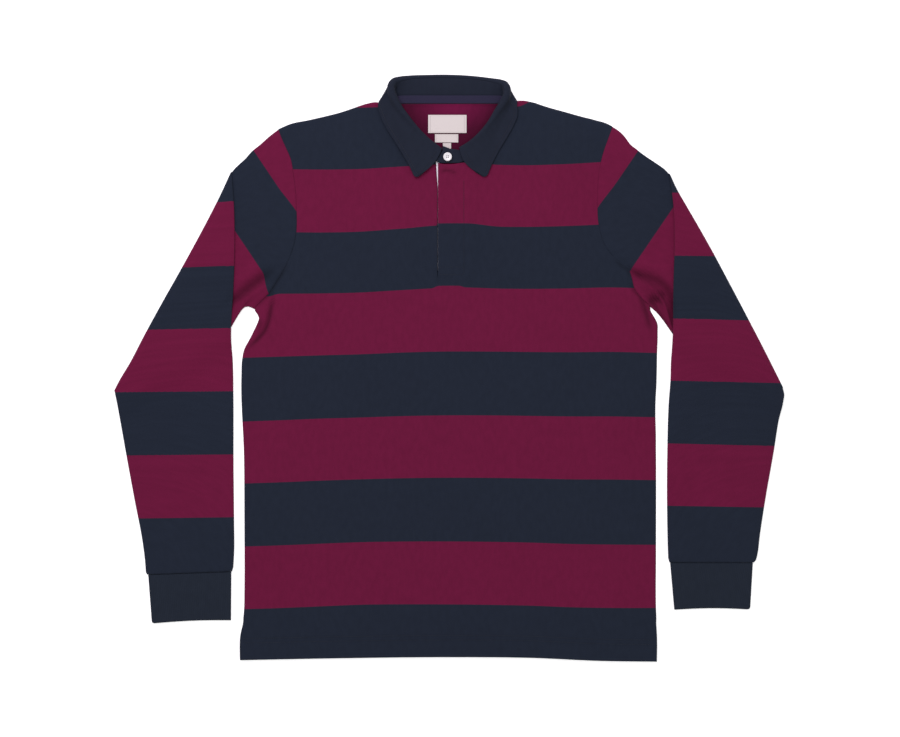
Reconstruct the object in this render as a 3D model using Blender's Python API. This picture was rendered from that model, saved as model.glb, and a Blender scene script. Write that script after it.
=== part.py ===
"""A long-sleeved rugby shirt, laid flat on its back with both sleeves folded forward.

The back lies on the surface and the front lies on the back, each one wall of jersey. Each
sleeve is a flattened tube: it runs out from its armhole, turns over along one straight fold
and comes down beside the body, on top of itself and then on the surface. The collar stand
rises from the neck seam, and the leaf turns over it: forward at the front, outward at the
sides and under the back at the back.

+X runs across the shirt, +Y from hem to neck and +Z up from the surface, z = 0. Left is -X
and right is +X. Tables and functions hold millimetres, and the meshes are made in metres.
"""

import math

import bmesh
import bpy
import numpy as np
from mathutils import Vector

MM = 0.001

# Walls and the gaps between them.
JERSEY = 1.5
COLLAR_CLOTH = 1.6
THIN_CLOTH = 1.0
LABEL_CLOTH = 0.6
LAYER_GAP = 0.6
SEAM_GAP = 0.3

# Heights of the middle of each layer where nothing lifts it.
BACK_MIDDLE = JERSEY / 2
FRONT_MIDDLE = BACK_MIDDLE + JERSEY + LAYER_GAP
TUBE_HEIGHT = 2 * JERSEY + LAYER_GAP
LEAF_ON_SURFACE = COLLAR_CLOTH / 2 + 0.12

# The outline of the body: points (x, y) up each edge.
LEFT_EDGE = [
    (-279, -388), (-279, -368), (-273.5, -330), (-273, -120), (-277, -10),
    (-274, 26), (-262, 48), (-257, 83), (-226, 120), (-207, 165),
    (-204, 215), (-210, 268), (-226, 318),
]
RIGHT_EDGE = [
    (274, -390), (274, -345), (272.5, -315), (272.5, -110), (273, -30),
    (274, 20), (273, 58), (266, 82), (232, 127), (204, 167),
    (196, 217), (201, 277), (216, 321),
]
HEM = [(-279, -388), (-150, -385.5), (0, -384), (110, -385), (200, -389), (274, -390)]
LEFT_SHOULDER = [(-226, 318), (-213, 325), (-178, 333), (-137, 343.5), (-112, 351.5), (-84, 350)]
RIGHT_SHOULDER = [(84, 351), (106, 354), (118, 351), (145, 344), (184, 333.5), (216, 321)]
FRONT_NECK_LEFT = [(-84, 350), (-81, 335), (-66, 306), (-40, 283), (-16, 274)]
FRONT_NECK_RIGHT = [(-16, 274), (10, 273.5), (40, 283), (66, 306), (81, 335), (84, 351)]
BACK_NECK_Y = 354
BACK_NECK = [
    (-84, 350), (-75, 352.6), (-60, BACK_NECK_Y), (0, BACK_NECK_Y), (60, BACK_NECK_Y), (75, 353),
    (84, 351),
]
NECK_STEPS_BACK = [8]
NECK_STEPS_FRONT = [5, 7]

# Grid rows of the body: (y at the side edges, y down the front's middle, y down the back's).
BODY_ROWS = [
    (-389, -384, -384), (-365, -361, -361), (-338, -335, -335), (-280, -278, -278),
    (-215, -214, -214), (-150, -150, -150), (-85, -85, -85), (-30, -30, -30),
    (0, 0, 0), (26, 26, 26), (52, 52, 52), (83, 83, 83),
    (108, 101, 125), (133, 120, 167), (162, 145, 207), (195, 171, 244),
    (230, 197, 277), (265, 222, 307), (297, 248, 332), (318, 274, 354),
]
UNDERARM_ROW = 11
SHOULDER_STEPS = [0, 0.16, 0.4, 0.62, 0.8]
EDGE_SHAPE_POWER = 4

# The placket: a slit in the front from the neck, with a flap lifted over a white facing.
SLIT_X = -16.0
SLIT_END_ROW = 13
FLAP_LIFT = 2.3
FLAP_RIGHT = (25, 42)
FLAP_BOTTOM = (128, 96)
LIP_GAP = 0.35
LIP_OPENING = 2.4
LIP_CLOSED_TO = (244, 274)
FACING_RIGHT = 21
FACING_Y = (146, 271)
FACING_MIDDLE = FRONT_MIDDLE - 0.15
FACING_GAP = 0.45
FACING_GRID = (3, 5)

# The collar leaf lies under the back at the neck and lifts both panels there.
LEAF_LIFT = COLLAR_CLOTH + SEAM_GAP + 0.5
LEAF_LIFT_X = (100, 165)
LEAF_LIFT_Y = (337, 272)

# The collar holds the front a little clear of the back around the neck.
NECK_EASE = 0.7
NECK_EASE_X = (120, 200)
NECK_EASE_Y = (300, 220)

# The half-moon patch and the labels on the inside of the back.
PATCH_TOP = 351.5
PATCH_GAP = 0.4
PATCH_HALF_WIDTH = 72
PATCH_DEPTH = 67
PATCH_TIP = 2
PATCH_CLEARED = (1.04, 1.2)
PATCH_GRID = (12, 8)
LABELS = {  # name: (left, right, bottom, top)
    "label_main": (-29, 22, 313, 337),
    "label_second": (-20, 11, 300.5, 311.5),
    "label_size": (-9.5, 1.5, 290.4, 299.8),
}
LABEL_GRID = (2, 4)

# Sleeves. Each edge is (x, y) points: over and under run from the armhole's two ends to the
# fold; inner and outer run from the fold down to the cuff seam.
SLEEVES = {
    "left": {
        "over": [(-226, 318), (-252, 299), (-277, 274), (-292, 261)],
        "under": [(-257, 83), (-270, 84), (-283, 70), (-293, 54), (-386, -1), (-445, -31)],
        "inner": [(-292, 261), (-289, 224), (-289, 90), (-293, 40), (-289, -40), (-289, -230),
                  (-292, -270)],
        "outer": [(-445, -31), (-443, -52), (-433, -109), (-411, -215), (-403.5, -274)],
        "cuff_end": [(-294, -335), (-397, -337)],
    },
    "right": {
        "over": [(216, 321), (245, 293), (270, 274), (293, 256)],
        "under": [(266, 82), (280, 63), (296, 48), (386, -1), (445, -26)],
        "inner": [(293, 256), (298, 224), (297, 90), (296, 20), (291, -70), (289, -150),
                  (289, -235), (291, -260)],
        "outer": [(445, -26), (444, -42), (436, -72), (428, -122), (415, -202), (404, -261)],
        "cuff_end": [(300, -321), (398, -320)],
    },
}
UPPER_ROWS = [0, 0.12, 0.3, 0.5, 0.7, 0.87, 1]
TURN_ROWS = [45, 90, 135]
LOWER_ROWS = [
    0, 0.04, 0.08, 0.13, 0.18, 0.23, 0.28, 0.33, 0.38, 0.44, 0.52, 0.62, 0.72, 0.82, 0.92, 1,
]
TURN_HEIGHT = TUBE_HEIGHT + LAYER_GAP / 2
DROP = 2 * TURN_HEIGHT - TUBE_HEIGHT
DROP_FROM, DROP_OVER = 8, 36
TUBE_STEPS = 8
TUBE_EDGE_TURNS = [-90, -30, 30, 90]
CUFF_ROWS = [0, 0.5, 1]
CUFF_WIDTH_SHARE = 0.97
ARMHOLE_GAP = 1.5 * SEAM_GAP

# The collar, one row for each section from the left front end round the back to the right
# one: the seam on the neck (x, y), the middle of the roll (x, y, z), the leaf's edge (x, y, z),
# the roll's radius, and how far the section has turned over from lying forward.
COLLAR_COLUMNS = "roll_x roll_y roll_z seam_x seam_y edge_x edge_y edge_z radius turn"
COLLAR = [
    (-14, 286.5, 6.6, -12, 274.5, -43, 253, 4.7, 1.5, 0),
    (-29, 300, 7.4, -30, 280, -54, 271, 4.7, 1.8, 8),
    (-45, 316, 8.9, -47, 289, -65, 288, 4.7, 2.2, 20),
    (-58.5, 332, 10.2, -61, 302, -75, 304, 4.7, 3.0, 35),
    (-68, 347, 11.6, -72, 317, -85, 320, 4.7, 3.8, 52),
    (-75, 360, 12.6, -79, 333, -92.5, 336, 4.7, 4.3, 70),
    (-78, 370, 12.4, -82, 346, -95.5, 348.5, 4.7, 4.5, 88),
    (-77.5, 376, 11.2, -82.5, 351.5, -94.5, 355, 6.6, 4.4, 104),
    (-74, 381, 9.2, -79, 353.5, -87, 355, 0.92, 4.0, 125),
    (-66.5, 384.5, 7.0, -70, 354.8, -76, 346, 0.92, 3.4, 150),
    (-54, 386.5, 4.6, -56, 355, -62, 341.5, 0.92, 2.8, 170),
    (-30, 387.3, 3.5, -30, 355, -33, 340, 0.92, 2.5, 180),
    (0, 387.5, 3.5, 0, 355, 0, 340, 0.92, 2.5, 180),
    (30, 386.5, 3.5, 30, 355, 34, 340, 0.92, 2.5, 180),
    (55, 383.5, 4.6, 56, 355, 63, 341.5, 0.92, 2.8, 170),
    (67, 380.5, 7.0, 70, 354.8, 76, 346, 0.92, 3.4, 150),
    (74, 376.5, 9.2, 79, 353.5, 86, 355, 0.92, 4.0, 125),
    (77, 370.5, 11.2, 82.5, 352, 92, 356, 6.6, 4.4, 104),
    (76.5, 363, 12.4, 82, 346, 91, 348.5, 4.7, 4.5, 88),
    (72, 352, 12.6, 79, 333, 89.5, 336, 4.7, 4.3, 70),
    (64.5, 340, 11.6, 72, 317, 84, 322, 4.7, 3.8, 52),
    (55, 326, 10.6, 61, 302, 75, 306, 4.7, 3.0, 35),
    (42, 311.5, 10.0, 47, 289, 65, 289, 4.7, 2.4, 20),
    (28, 298, 9.4, 30, 280, 55, 271.5, 4.7, 2.0, 8),
    (14, 286.5, 8.4, 12, 274.5, 46, 255, 4.7, 1.6, 0),
]
COLLAR_STATIONS = 38
RUN_STEP = 0.01
LEAF_STEPS = 6
ROLL_TURNS = [-90, -60, -30, 0, 30, 60, 90]
ROLL_LEAD = 1.2
STAND_STEPS = 5
SECTION_LEAN = 0.3
STAND_TURNS_BACK = (104, 96)
LEAF_TURNS_UNDER = (118, 106)
UNDER_REACH, UNDER_HEIGHT, OVER_HEIGHT, UNDER_SLOPE = 4, 1.15, 9, 0.22

# The ends of the stand lap at the front, the right one on top: (x, seam y, seam z, top y, top z).
# The upper end is cut round, so that it reaches further at the seam than at its top.
LEFT_TAB = [(12, 274.6, 2.9, 289.5, 4.8), (0, 274.4, 2.9, 289.6, 4.8)]
RIGHT_TAB = [(0, 274.4, 5.3, 290.2, 6.8), (-10, 275, 5.3, 290.2, 6.8)]
TAB_END_REACH = 6.4
TAB_END_FROM, TAB_END_OVER = 0.3, 0.5

TAPE_WIDTH = 8.5
TAPE_HALF_LENGTH = 75
TAPE_STEPS = 3

BUTTON_PLACE = (-3.2, 281.2)
BUTTON_RADIUS = 6.0
BUTTON_THICK = 2.6
BUTTON_SEAT = 7.6
BUTTON_DISH = 0.7
BUTTON_RIM = 1.4
BUTTON_HOLE_RADIUS = 0.7
BUTTON_HOLE_REACH = 1.5
BUTTON_HOLES = 4
BUTTON_HOLE_SIDES = 8
BUTTON_SIDES = 24

NAVY = (0.020, 0.024, 0.038)
BURGUNDY = (0.140, 0.011, 0.045)
WHITE = (0.72, 0.70, 0.70)
CREAM = (0.70, 0.62, 0.58)


def smooth(t):
    """0 below 0, 1 above 1 and an even slope between."""
    t = min(max(t, 0.0), 1.0)
    return t * t * (3 - 2 * t)


def fade(value, full, none):
    """1 at full, 0 at none and smooth between."""
    return smooth((value - none) / (full - none))


def lerp(a, b, t):
    return a + (b - a) * t


class Line:
    """A smooth curve through points, read by its share of the length."""

    def __init__(self, points):
        self.points = np.array(points, float)
        steps = np.linalg.norm(np.diff(self.points[:, :3], axis=0), axis=1)
        self.at = np.concatenate([[0], np.cumsum(steps)]) / steps.sum()
        self.slopes = np.gradient(self.points, self.at, axis=0)

    def __call__(self, t):
        k = int(np.clip(np.searchsorted(self.at, t) - 1, 0, len(self.at) - 2))
        span = self.at[k + 1] - self.at[k]
        s = (t - self.at[k]) / span
        start, end = self.points[k], self.points[k + 1]
        leave, arrive = self.slopes[k] * span, self.slopes[k + 1] * span
        return (
            (2 * s**3 - 3 * s**2 + 1) * start
            + (s**3 - 2 * s**2 + s) * leave
            + (3 * s**2 - 2 * s**3) * end
            + (s**3 - s**2) * arrive
        )


def between(start, end, share):
    return lerp(np.array(start, float), np.array(end, float), share)


def x_at(edge, y):
    """Where an edge, given as points (x, y) going up, crosses a height y."""
    points = np.array(edge, float)
    return float(np.interp(y, points[:, 1], points[:, 0]))


def y_of_hem(x):
    points = np.array(HEM, float)
    return float(np.interp(x, points[:, 0], points[:, 1]))


# Heights -----------------------------------------------------------------------------


def leaf_lift(x, y):
    """How far the collar leaf under the neck lifts the back."""
    return LEAF_LIFT * fade(abs(x), *LEAF_LIFT_X) * fade(y, *LEAF_LIFT_Y)


def back_middle(x, y):
    return BACK_MIDDLE + leaf_lift(x, y)


def front_middle(x, y):
    ease = NECK_EASE * fade(abs(x), *NECK_EASE_X) * fade(y, *NECK_EASE_Y)
    return FRONT_MIDDLE + leaf_lift(x, y) + ease


def flap_lift(x, y):
    return FLAP_LIFT * fade(x, *FLAP_RIGHT) * fade(y, *FLAP_BOTTOM)


def lip_shift(y):
    """How far the left lip of the slit stands back from the flap's edge."""
    return lerp(LIP_OPENING, LIP_GAP, fade(y, *LIP_CLOSED_TO))


def over_patch(x, y):
    """1 over the half-moon patch and 0 well outside it."""
    from_centre = math.hypot(x / PATCH_HALF_WIDTH, (PATCH_TOP - y) / PATCH_DEPTH)
    return fade(from_centre, *PATCH_CLEARED)


def stand_floor(x, y):
    """The lowest that the middle of the stand may lie over the inside of the back."""
    if y > BACK_NECK_Y:
        return 0.0
    clear = JERSEY / 2 + SEAM_GAP + COLLAR_CLOTH / 2
    return back_middle(x, y) + clear + (THIN_CLOTH + PATCH_GAP) * over_patch(x, y)


def leaf_floor(x, y):
    """The lowest that the middle of the leaf may lie over the front."""
    clear = JERSEY / 2 + 2 * SEAM_GAP + COLLAR_CLOTH / 2
    return front_middle(x, y) + flap_lift(x, y) + clear


# Pieces ------------------------------------------------------------------------------


def material(name, colour, roughness):
    made = bpy.data.materials.get(name) or bpy.data.materials.new(name)
    made.use_nodes = True
    shader = made.node_tree.nodes["Principled BSDF"]
    shader.inputs["Base Color"].default_value = (*colour, 1)
    shader.inputs["Roughness"].default_value = roughness
    return made


def piece(name, mesh, finish):
    """Makes the bmesh an object of that name."""
    data = bpy.data.meshes.new(name)
    mesh.to_mesh(data)
    mesh.free()
    data.materials.append(finish)
    made = bpy.data.objects.new(name, data)
    bpy.context.scene.collection.objects.link(made)
    data.shade_smooth()
    return made


def grid(columns, rows, place):
    """A sheet of columns x rows faces, with place(column, row) giving each point in mm."""
    mesh = bmesh.new()
    bmesh.ops.create_grid(mesh, x_segments=columns, y_segments=rows, size=1)
    for point in mesh.verts:
        column = round((point.co.x + 1) / 2 * columns)
        row = round((point.co.y + 1) / 2 * rows)
        point.co = Vector(place(column, row)) * MM
    return mesh


def cloth(name, mesh, finish, thickness):
    """A sheet given its wall, half above its points and half below."""
    made = piece(name, mesh, finish)
    wall = made.modifiers.new("wall", "SOLIDIFY")
    wall.thickness = thickness * MM
    wall.offset = 0
    wall.use_even_offset = True
    wall.use_quality_normals = True
    return made


def ring_wall(name, rows, finish):
    """A tube with a wall. Each row is (outer points, inner points), both rings."""
    around = len(rows[0][0])
    walls = [outer for outer, inner in rows] + [inner for outer, inner in reversed(rows)]

    def place(column, row):
        return walls[row % len(walls)][column % around]

    mesh = grid(around, len(walls), place)
    bmesh.ops.remove_doubles(mesh, verts=mesh.verts, dist=0.01 * MM)
    bmesh.ops.recalc_face_normals(mesh, faces=mesh.faces)
    return piece(name, mesh, finish)


# Body --------------------------------------------------------------------------------


def body_point(top, middle_x, edge_y, middle_y, top_middle_y, v):
    """A point of a panel: straight rows between its edges and its middle line, drawn to the
    hem at the bottom and to the top edge at the top."""
    if top[0] <= middle_x:
        side, shoulder = LEFT_EDGE, LEFT_SHOULDER[0]
    else:
        side, shoulder = RIGHT_EDGE, RIGHT_SHOULDER[-1]
    share = (top[0] - middle_x) / (shoulder[0] - middle_x)
    row = between((middle_x, middle_y), (x_at(side, edge_y), edge_y), share)
    row_foot = between((middle_x, BODY_ROWS[0][1]), (side[0][0], BODY_ROWS[0][0]), share)
    row_top = between((middle_x, top_middle_y), shoulder, share)
    foot = np.array([row_foot[0], y_of_hem(row_foot[0])])
    at_foot, at_top = (1 - v) ** EDGE_SHAPE_POWER, v**EDGE_SHAPE_POWER
    return row + at_foot * (foot - row_foot) + at_top * (np.array(top) - row_top)


def top_points(neck_lines, neck_steps):
    """The points along the top edge: a shoulder, the neck and the other shoulder."""
    left, right = Line(LEFT_SHOULDER), Line(RIGHT_SHOULDER)
    points = [left(t) for t in SHOULDER_STEPS]
    for line, steps in zip(neck_lines, neck_steps):
        points += [Line(line)(k / steps) for k in range(steps)]
    return points + [right(1 - t) for t in reversed([*SHOULDER_STEPS, 1.0])]


def panel_points(top, middle_x, middle_column):
    """Rows of (x, y) for a panel, from the hem up."""
    middles = [row[middle_column] for row in BODY_ROWS]
    rows = []
    for edge_y, *others in BODY_ROWS:
        middle_y = others[middle_column - 1]
        v = (middle_y - middles[0]) / (middles[-1] - middles[0])
        rows.append([body_point(p, middle_x, edge_y, middle_y, middles[-1], v) for p in top])
    return rows


def on_seam(column, row, columns, rows, shoulder_columns):
    """Whether a grid point lies on a side seam or a shoulder seam."""
    side = column in (0, columns) and row <= UNDERARM_ROW
    shoulder = row == rows and (column < shoulder_columns or column > columns - shoulder_columns)
    return side or shoulder


def build_back():
    top = top_points([BACK_NECK], NECK_STEPS_BACK)
    points = panel_points(top, 0.0, 2)
    columns, rows = len(top) - 1, len(BODY_ROWS) - 1

    def place(column, row):
        x, y = points[row][column]
        return x, y, back_middle(x, y)

    return cloth("back_panel", grid(columns, rows, place), STRIPED, JERSEY)


def build_front():
    top = top_points([FRONT_NECK_LEFT, FRONT_NECK_RIGHT], NECK_STEPS_FRONT)
    points = panel_points(top, SLIT_X, 1)
    columns, rows = len(top) - 1, len(BODY_ROWS) - 1
    slit_column = len(SHOULDER_STEPS) + NECK_STEPS_FRONT[0]

    def place(column, row):
        x, y = points[row][column]
        z = front_middle(x, y)
        if column > slit_column:
            z += flap_lift(x, y)
        if on_seam(column, row, columns, rows, len(SHOULDER_STEPS)):
            z = back_middle(x, y) + JERSEY + SEAM_GAP
        return x, y, z

    mesh = grid(columns, rows, place)
    open_slit(mesh, points, slit_column)
    return cloth("front_panel", mesh, STRIPED, JERSEY)


def open_slit(mesh, points, column):
    """Splits the front down its slit, lifts the flap's edge and stands the other lip back."""
    line = [Vector((*points[row][column], 0)) * MM for row in range(SLIT_END_ROW, len(points))]

    def on_line(point):
        return any((point.co.xy - spot.xy).length < 0.01 * MM for spot in line)

    slit = [e for e in mesh.edges if all(on_line(v) for v in e.verts)]
    bmesh.ops.split_edges(mesh, edges=slit)
    for point in [v for v in mesh.verts if on_line(v)]:
        if (point.co.xy - line[0].xy).length < 0.01 * MM:
            continue
        y = point.co.y / MM
        is_flap = any(f.calc_center_median().x > point.co.x for f in point.link_faces)
        if is_flap:
            point.co.z += flap_lift(0, y) * MM
        else:
            point.co.x -= lip_shift(y) * MM


def build_facing():
    """The white facing that the flap covers, sewn to the other lip."""
    columns, rows = FACING_GRID

    def place(column, row):
        y = lerp(*FACING_Y, row / rows)
        left = SLIT_X - lip_shift(y) + FACING_GAP
        return lerp(left, FACING_RIGHT, column / columns), y, FACING_MIDDLE

    return cloth("fly_facing", grid(columns, rows, place), WHITE_TWILL, THIN_CLOTH)


def build_patch():
    """The half-moon inside the back neck."""
    columns, rows = PATCH_GRID
    lie = JERSEY / 2 + PATCH_GAP + THIN_CLOTH / 2

    def place(column, row):
        across = -math.cos(math.pi * column / columns)
        deep = (PATCH_DEPTH - PATCH_TIP) * math.sqrt(max(1 - across**2, 0))
        low = PATCH_TOP - PATCH_TIP - deep
        x, y = PATCH_HALF_WIDTH * across, lerp(low, PATCH_TOP, row / rows)
        return x, y, back_middle(x, y) + lie

    return cloth("neck_patch", grid(columns, rows, place), BURGUNDY_JERSEY, THIN_CLOTH)


def build_labels():
    columns, rows = LABEL_GRID
    lie = JERSEY / 2 + PATCH_GAP + THIN_CLOTH + SEAM_GAP + LABEL_CLOTH / 2
    for name, (left, right, bottom, top) in LABELS.items():

        def place(column, row):
            x, y = lerp(left, right, column / columns), lerp(bottom, top, row / rows)
            return x, y, back_middle(x, y) + lie

        cloth(name, grid(columns, rows, place), LABEL_SATIN, LABEL_CLOTH)


# Sleeves -----------------------------------------------------------------------------


def patch_of(start, end, side_a, side_b):
    """A function (u, v) over four edges: u runs from side_a to side_b, v from start to end."""

    def place(u, v):
        across = lerp(start(u), end(u), v)
        along = lerp(side_a(v), side_b(v), u)
        corners = lerp(lerp(start(0), start(1), u), lerp(end(0), end(1), u), v)
        return across + along - corners

    return place


def tube_section(width):
    """Points round a flattened tube as (share of the width, outer z, inner share, inner z)."""
    radius, hollow = TUBE_HEIGHT / 2, LAYER_GAP / 2
    flat = [(k / TUBE_STEPS) for k in range(1, TUBE_STEPS)]
    section = []
    for degrees in TUBE_EDGE_TURNS:
        turn = math.radians(degrees)
        outer = radius * (1 - math.cos(turn)) / width
        inner = (radius - hollow * math.cos(turn)) / width
        rise = math.sin(turn)
        section.append((outer, radius + radius * rise, inner, radius + hollow * rise))
    far = [(1 - outer, z, 1 - inner, z_in) for outer, z, inner, z_in in reversed(section)]
    over = [(u, TUBE_HEIGHT, u, radius + hollow) for u in flat]
    under = [(u, 0.0, u, radius - hollow) for u in reversed(flat)]
    return section + over + far + under


def armhole_point(side, u):
    """A point of the armhole seam, from the shoulder at 0 to the underarm at 1. It follows the
    body's own rows, so that the two edges run side by side."""
    heights = [row[0] for row in BODY_ROWS[UNDERARM_ROW:]]
    edge = LEFT_EDGE if side == "left" else RIGHT_EDGE
    place = (1 - u) * (len(heights) - 1)
    y = float(np.interp(place, range(len(heights)), heights))
    low = min(int(place), len(heights) - 2)
    start, end = x_at(edge, heights[low]), x_at(edge, heights[low + 1])
    return np.array([lerp(start, end, place - low), y])


def build_sleeve(side):
    edges = SLEEVES[side]
    over, under = Line(edges["over"]), Line(edges["under"])
    inner, outer = Line(edges["inner"]), Line(edges["outer"])
    fold_start, fold_end = over(1), under(1)
    along = (fold_end - fold_start) / np.linalg.norm(fold_end - fold_start)
    outward = np.array([along[1], -along[0]])
    if outward[0] * fold_start[0] < 0:
        outward = -outward
    set_in = TURN_HEIGHT * outward

    def fold(u):
        return lerp(fold_start, fold_end, u) - set_in

    def shortened(line, from_start):
        """The line with one end moved onto the fold's axis, eased along its length."""

        def place(t):
            pull = (1 - t) if from_start else t
            return line(t) - set_in * pull**2

        return place

    gap = np.array([math.copysign(ARMHOLE_GAP, fold_start[0]), 0])
    upper = patch_of(
        lambda u: armhole_point(side, u) + gap,
        fold,
        shortened(lambda t: over(t) + gap, False),
        shortened(lambda t: under(t) + gap, False),
    )
    lower = patch_of(
        fold,
        lambda u: lerp(inner(1), outer(1), u),
        shortened(inner, True),
        shortened(outer, True),
    )
    underarm = np.array(edges["under"][0]), fold_end

    def drop(point):
        """How far the lower sleeve has come down past the edge of the upper one."""
        run = underarm[1] - underarm[0]
        across = np.array([-run[1], run[0]]) / np.linalg.norm(run)
        if across[1] > 0:
            across = -across
        beyond = float(np.dot(point - underarm[0], across))
        return DROP * smooth((beyond - DROP_FROM) / DROP_OVER)

    def upper_point(u, z, v):
        return (*upper(u, v), z)

    def turn_point(u, z, degrees):
        turn = math.radians(degrees)
        reach = (TURN_HEIGHT - z) * math.sin(turn)
        return (*(fold(u) + outward * reach), TURN_HEIGHT - (TURN_HEIGHT - z) * math.cos(turn))

    def lower_point(u, z, v):
        spot = lower(u, v)
        return (*spot, 2 * TURN_HEIGHT - z - drop(spot))

    rows = []
    stages = [(upper_point, UPPER_ROWS), (turn_point, TURN_ROWS), (lower_point, LOWER_ROWS)]
    for place, steps in stages:
        for step in steps:
            width = row_width(place, step)
            section = tube_section(width)
            outer_ring = [place(u, z, step) for u, z, _, _ in section]
            inner_ring = [place(u, z, step) for _, _, u, z in section]
            rows.append((outer_ring, inner_ring))
    return ring_wall(f"sleeve_{side}", rows, STRIPED)


def row_width(place, step):
    a, b = np.array(place(0, 0, step))[:2], np.array(place(1, 0, step))[:2]
    return float(np.linalg.norm(b - a))


def build_cuff(side):
    seam_in, seam_out = (np.array(SLEEVES[side][edge][-1], float) for edge in ("inner", "outer"))
    low_in, low_out = (np.array(p, float) for p in SLEEVES[side]["cuff_end"])
    gap = np.array([0, -SEAM_GAP])

    def spot(u, v):
        top = lerp(seam_in, seam_out, u * CUFF_WIDTH_SHARE) + gap
        return lerp(top, lerp(low_in, low_out, u), v)

    rows = []
    for v in CUFF_ROWS:
        section = tube_section(float(np.linalg.norm(spot(1, v) - spot(0, v))))
        outer = [(*spot(u, v), z) for u, z, _, _ in section]
        inner = [(*spot(u, v), z) for _, _, u, z in section]
        rows.append((outer, inner))
    return ring_wall(f"cuff_{side}", rows, NAVY_RIB)


# Collar ------------------------------------------------------------------------------


def collar_sections(count):
    """Sections of the collar as dictionaries of vectors, evenly spaced along the roll."""
    columns = COLLAR_COLUMNS.split()
    line = Line(COLLAR)
    up = np.array([0, 0, 1.0])
    sections = []
    for k in range(count + 1):
        t = k / count
        row = dict(zip(columns, line(t)))
        run = (line(min(t + RUN_STEP, 1)) - line(max(t - RUN_STEP, 0)))[:2]
        along = run / np.linalg.norm(run)
        level = np.array([-along[1], along[0], 0.0])
        turn = math.radians(row["turn"])
        sections.append(
            {
                "roll": np.array([row["roll_x"], row["roll_y"], row["roll_z"]]),
                "seam": np.array([row["seam_x"], row["seam_y"], seam_height(row)]),
                "edge": np.array([row["edge_x"], row["edge_y"], row["edge_z"]]),
                "radius": row["radius"],
                "down": math.cos(turn) * level - math.sin(turn) * up,
                "out": math.sin(turn) * level + math.cos(turn) * up,
                "on_front": row["turn"] < STAND_TURNS_BACK[1],
                "under": fade(row["turn"], *LEAF_TURNS_UNDER),
            }
        )
    return sections


def seam_height(row):
    """The stand's seam lies level with the panel it is sewn to."""
    x, y = row["seam_x"], row["seam_y"]
    on_back = fade(row["turn"], *STAND_TURNS_BACK)
    return lerp(front_middle(x, y) + flap_lift(x, y), back_middle(x, y), on_back)


def bend(start, leave, end, steps):
    """Points on a curve that leaves start along leave and arrives level at end."""
    reach = SECTION_LEAN * np.linalg.norm(end - start)
    near = start + leave * reach
    back = start - end
    back[2] = 0
    far = end + back / max(np.linalg.norm(back), 1e-6) * reach
    points = []
    for k in range(1, steps + 1):
        t = k / steps
        s = 1 - t
        points.append(s**3 * start + 3 * t * s**2 * near + 3 * t**2 * s * far + t**3 * end)
    return points


def leaf_section(section):
    """The leaf's points: round the roll and down to its edge."""
    centre, radius = section["roll"], section["radius"]
    down, out = section["down"], section["out"]
    points = [centre - radius * out + ROLL_LEAD * down]
    for degrees in ROLL_TURNS:
        turn = math.radians(degrees)
        points.append(centre + radius * (math.sin(turn) * out - math.cos(turn) * down))
    fall = bend(points[-1], down, section["edge"], LEAF_STEPS)
    for point in fall:
        floor = leaf_floor(*point[:2]) if section["on_front"] else LEAF_ON_SURFACE
        point[2] = max(point[2], floor)
        beyond = max(point[1] - section["seam"][1] - UNDER_REACH, 0)
        ceiling = lerp(OVER_HEIGHT, UNDER_HEIGHT, section["under"]) + beyond * UNDER_SLOPE
        if point[1] < section["roll"][1] - section["radius"]:
            point[2] = min(point[2], ceiling)
    return points + fall


def stand_section(section):
    """The stand's points: from under the roll to the seam at the neck."""
    start = section["roll"] - section["radius"] * section["out"]
    start = start + (ROLL_LEAD + 2 * SEAM_GAP) * section["down"]
    points = [start, *bend(start, section["down"], section["seam"], STAND_STEPS)]
    for point in points[:-1]:
        point[2] = max(point[2], stand_floor(*point[:2]))
    return points


def tab_section(row, end_reach=0.0):
    """A section of a lapped end, from its top edge to the seam."""
    x, seam_y, seam_z, top_y, top_z = row
    points = []
    for k in range(STAND_STEPS + 1):
        share = k / STAND_STEPS
        reach = end_reach * smooth((share - TAB_END_FROM) / TAB_END_OVER)
        y, z = lerp(top_y, seam_y, share), lerp(top_z, seam_z, share)
        points.append(np.array([x - reach, y, z]))
    return points


def build_collar():
    sections = collar_sections(COLLAR_STATIONS)
    leaf = [leaf_section(s) for s in sections]
    stand = [tab_section(row) for row in LEFT_TAB]
    stand += [stand_section(s) for s in sections]
    stand += [tab_section(RIGHT_TAB[0]), tab_section(RIGHT_TAB[1], TAB_END_REACH)]
    for name, rows in (("collar_leaf", leaf), ("collar_stand", stand)):
        mesh = grid(len(rows) - 1, len(rows[0]) - 1, lambda c, r: rows[c][r])
        cloth(name, mesh, NAVY_TWILL, COLLAR_CLOTH)


def beside_stand(points, across, lie):
    """The stand's section from the seam up, moved off its inner face by lie."""
    rising = points[::-1]
    moved = []
    for k, point in enumerate(rising[:-1]):
        run = rising[k + 1] - rising[max(k - 1, 0)]
        inward = np.cross(across, run)
        moved.append(point + inward / np.linalg.norm(inward) * lie)
    return moved


def at_length(line, length):
    """The point that far along a line of points."""
    for start, end in zip(line, line[1:]):
        step = np.linalg.norm(end - start)
        if length <= step:
            return lerp(start, end, length / step)
        length -= step
    return line[-1]


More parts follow.
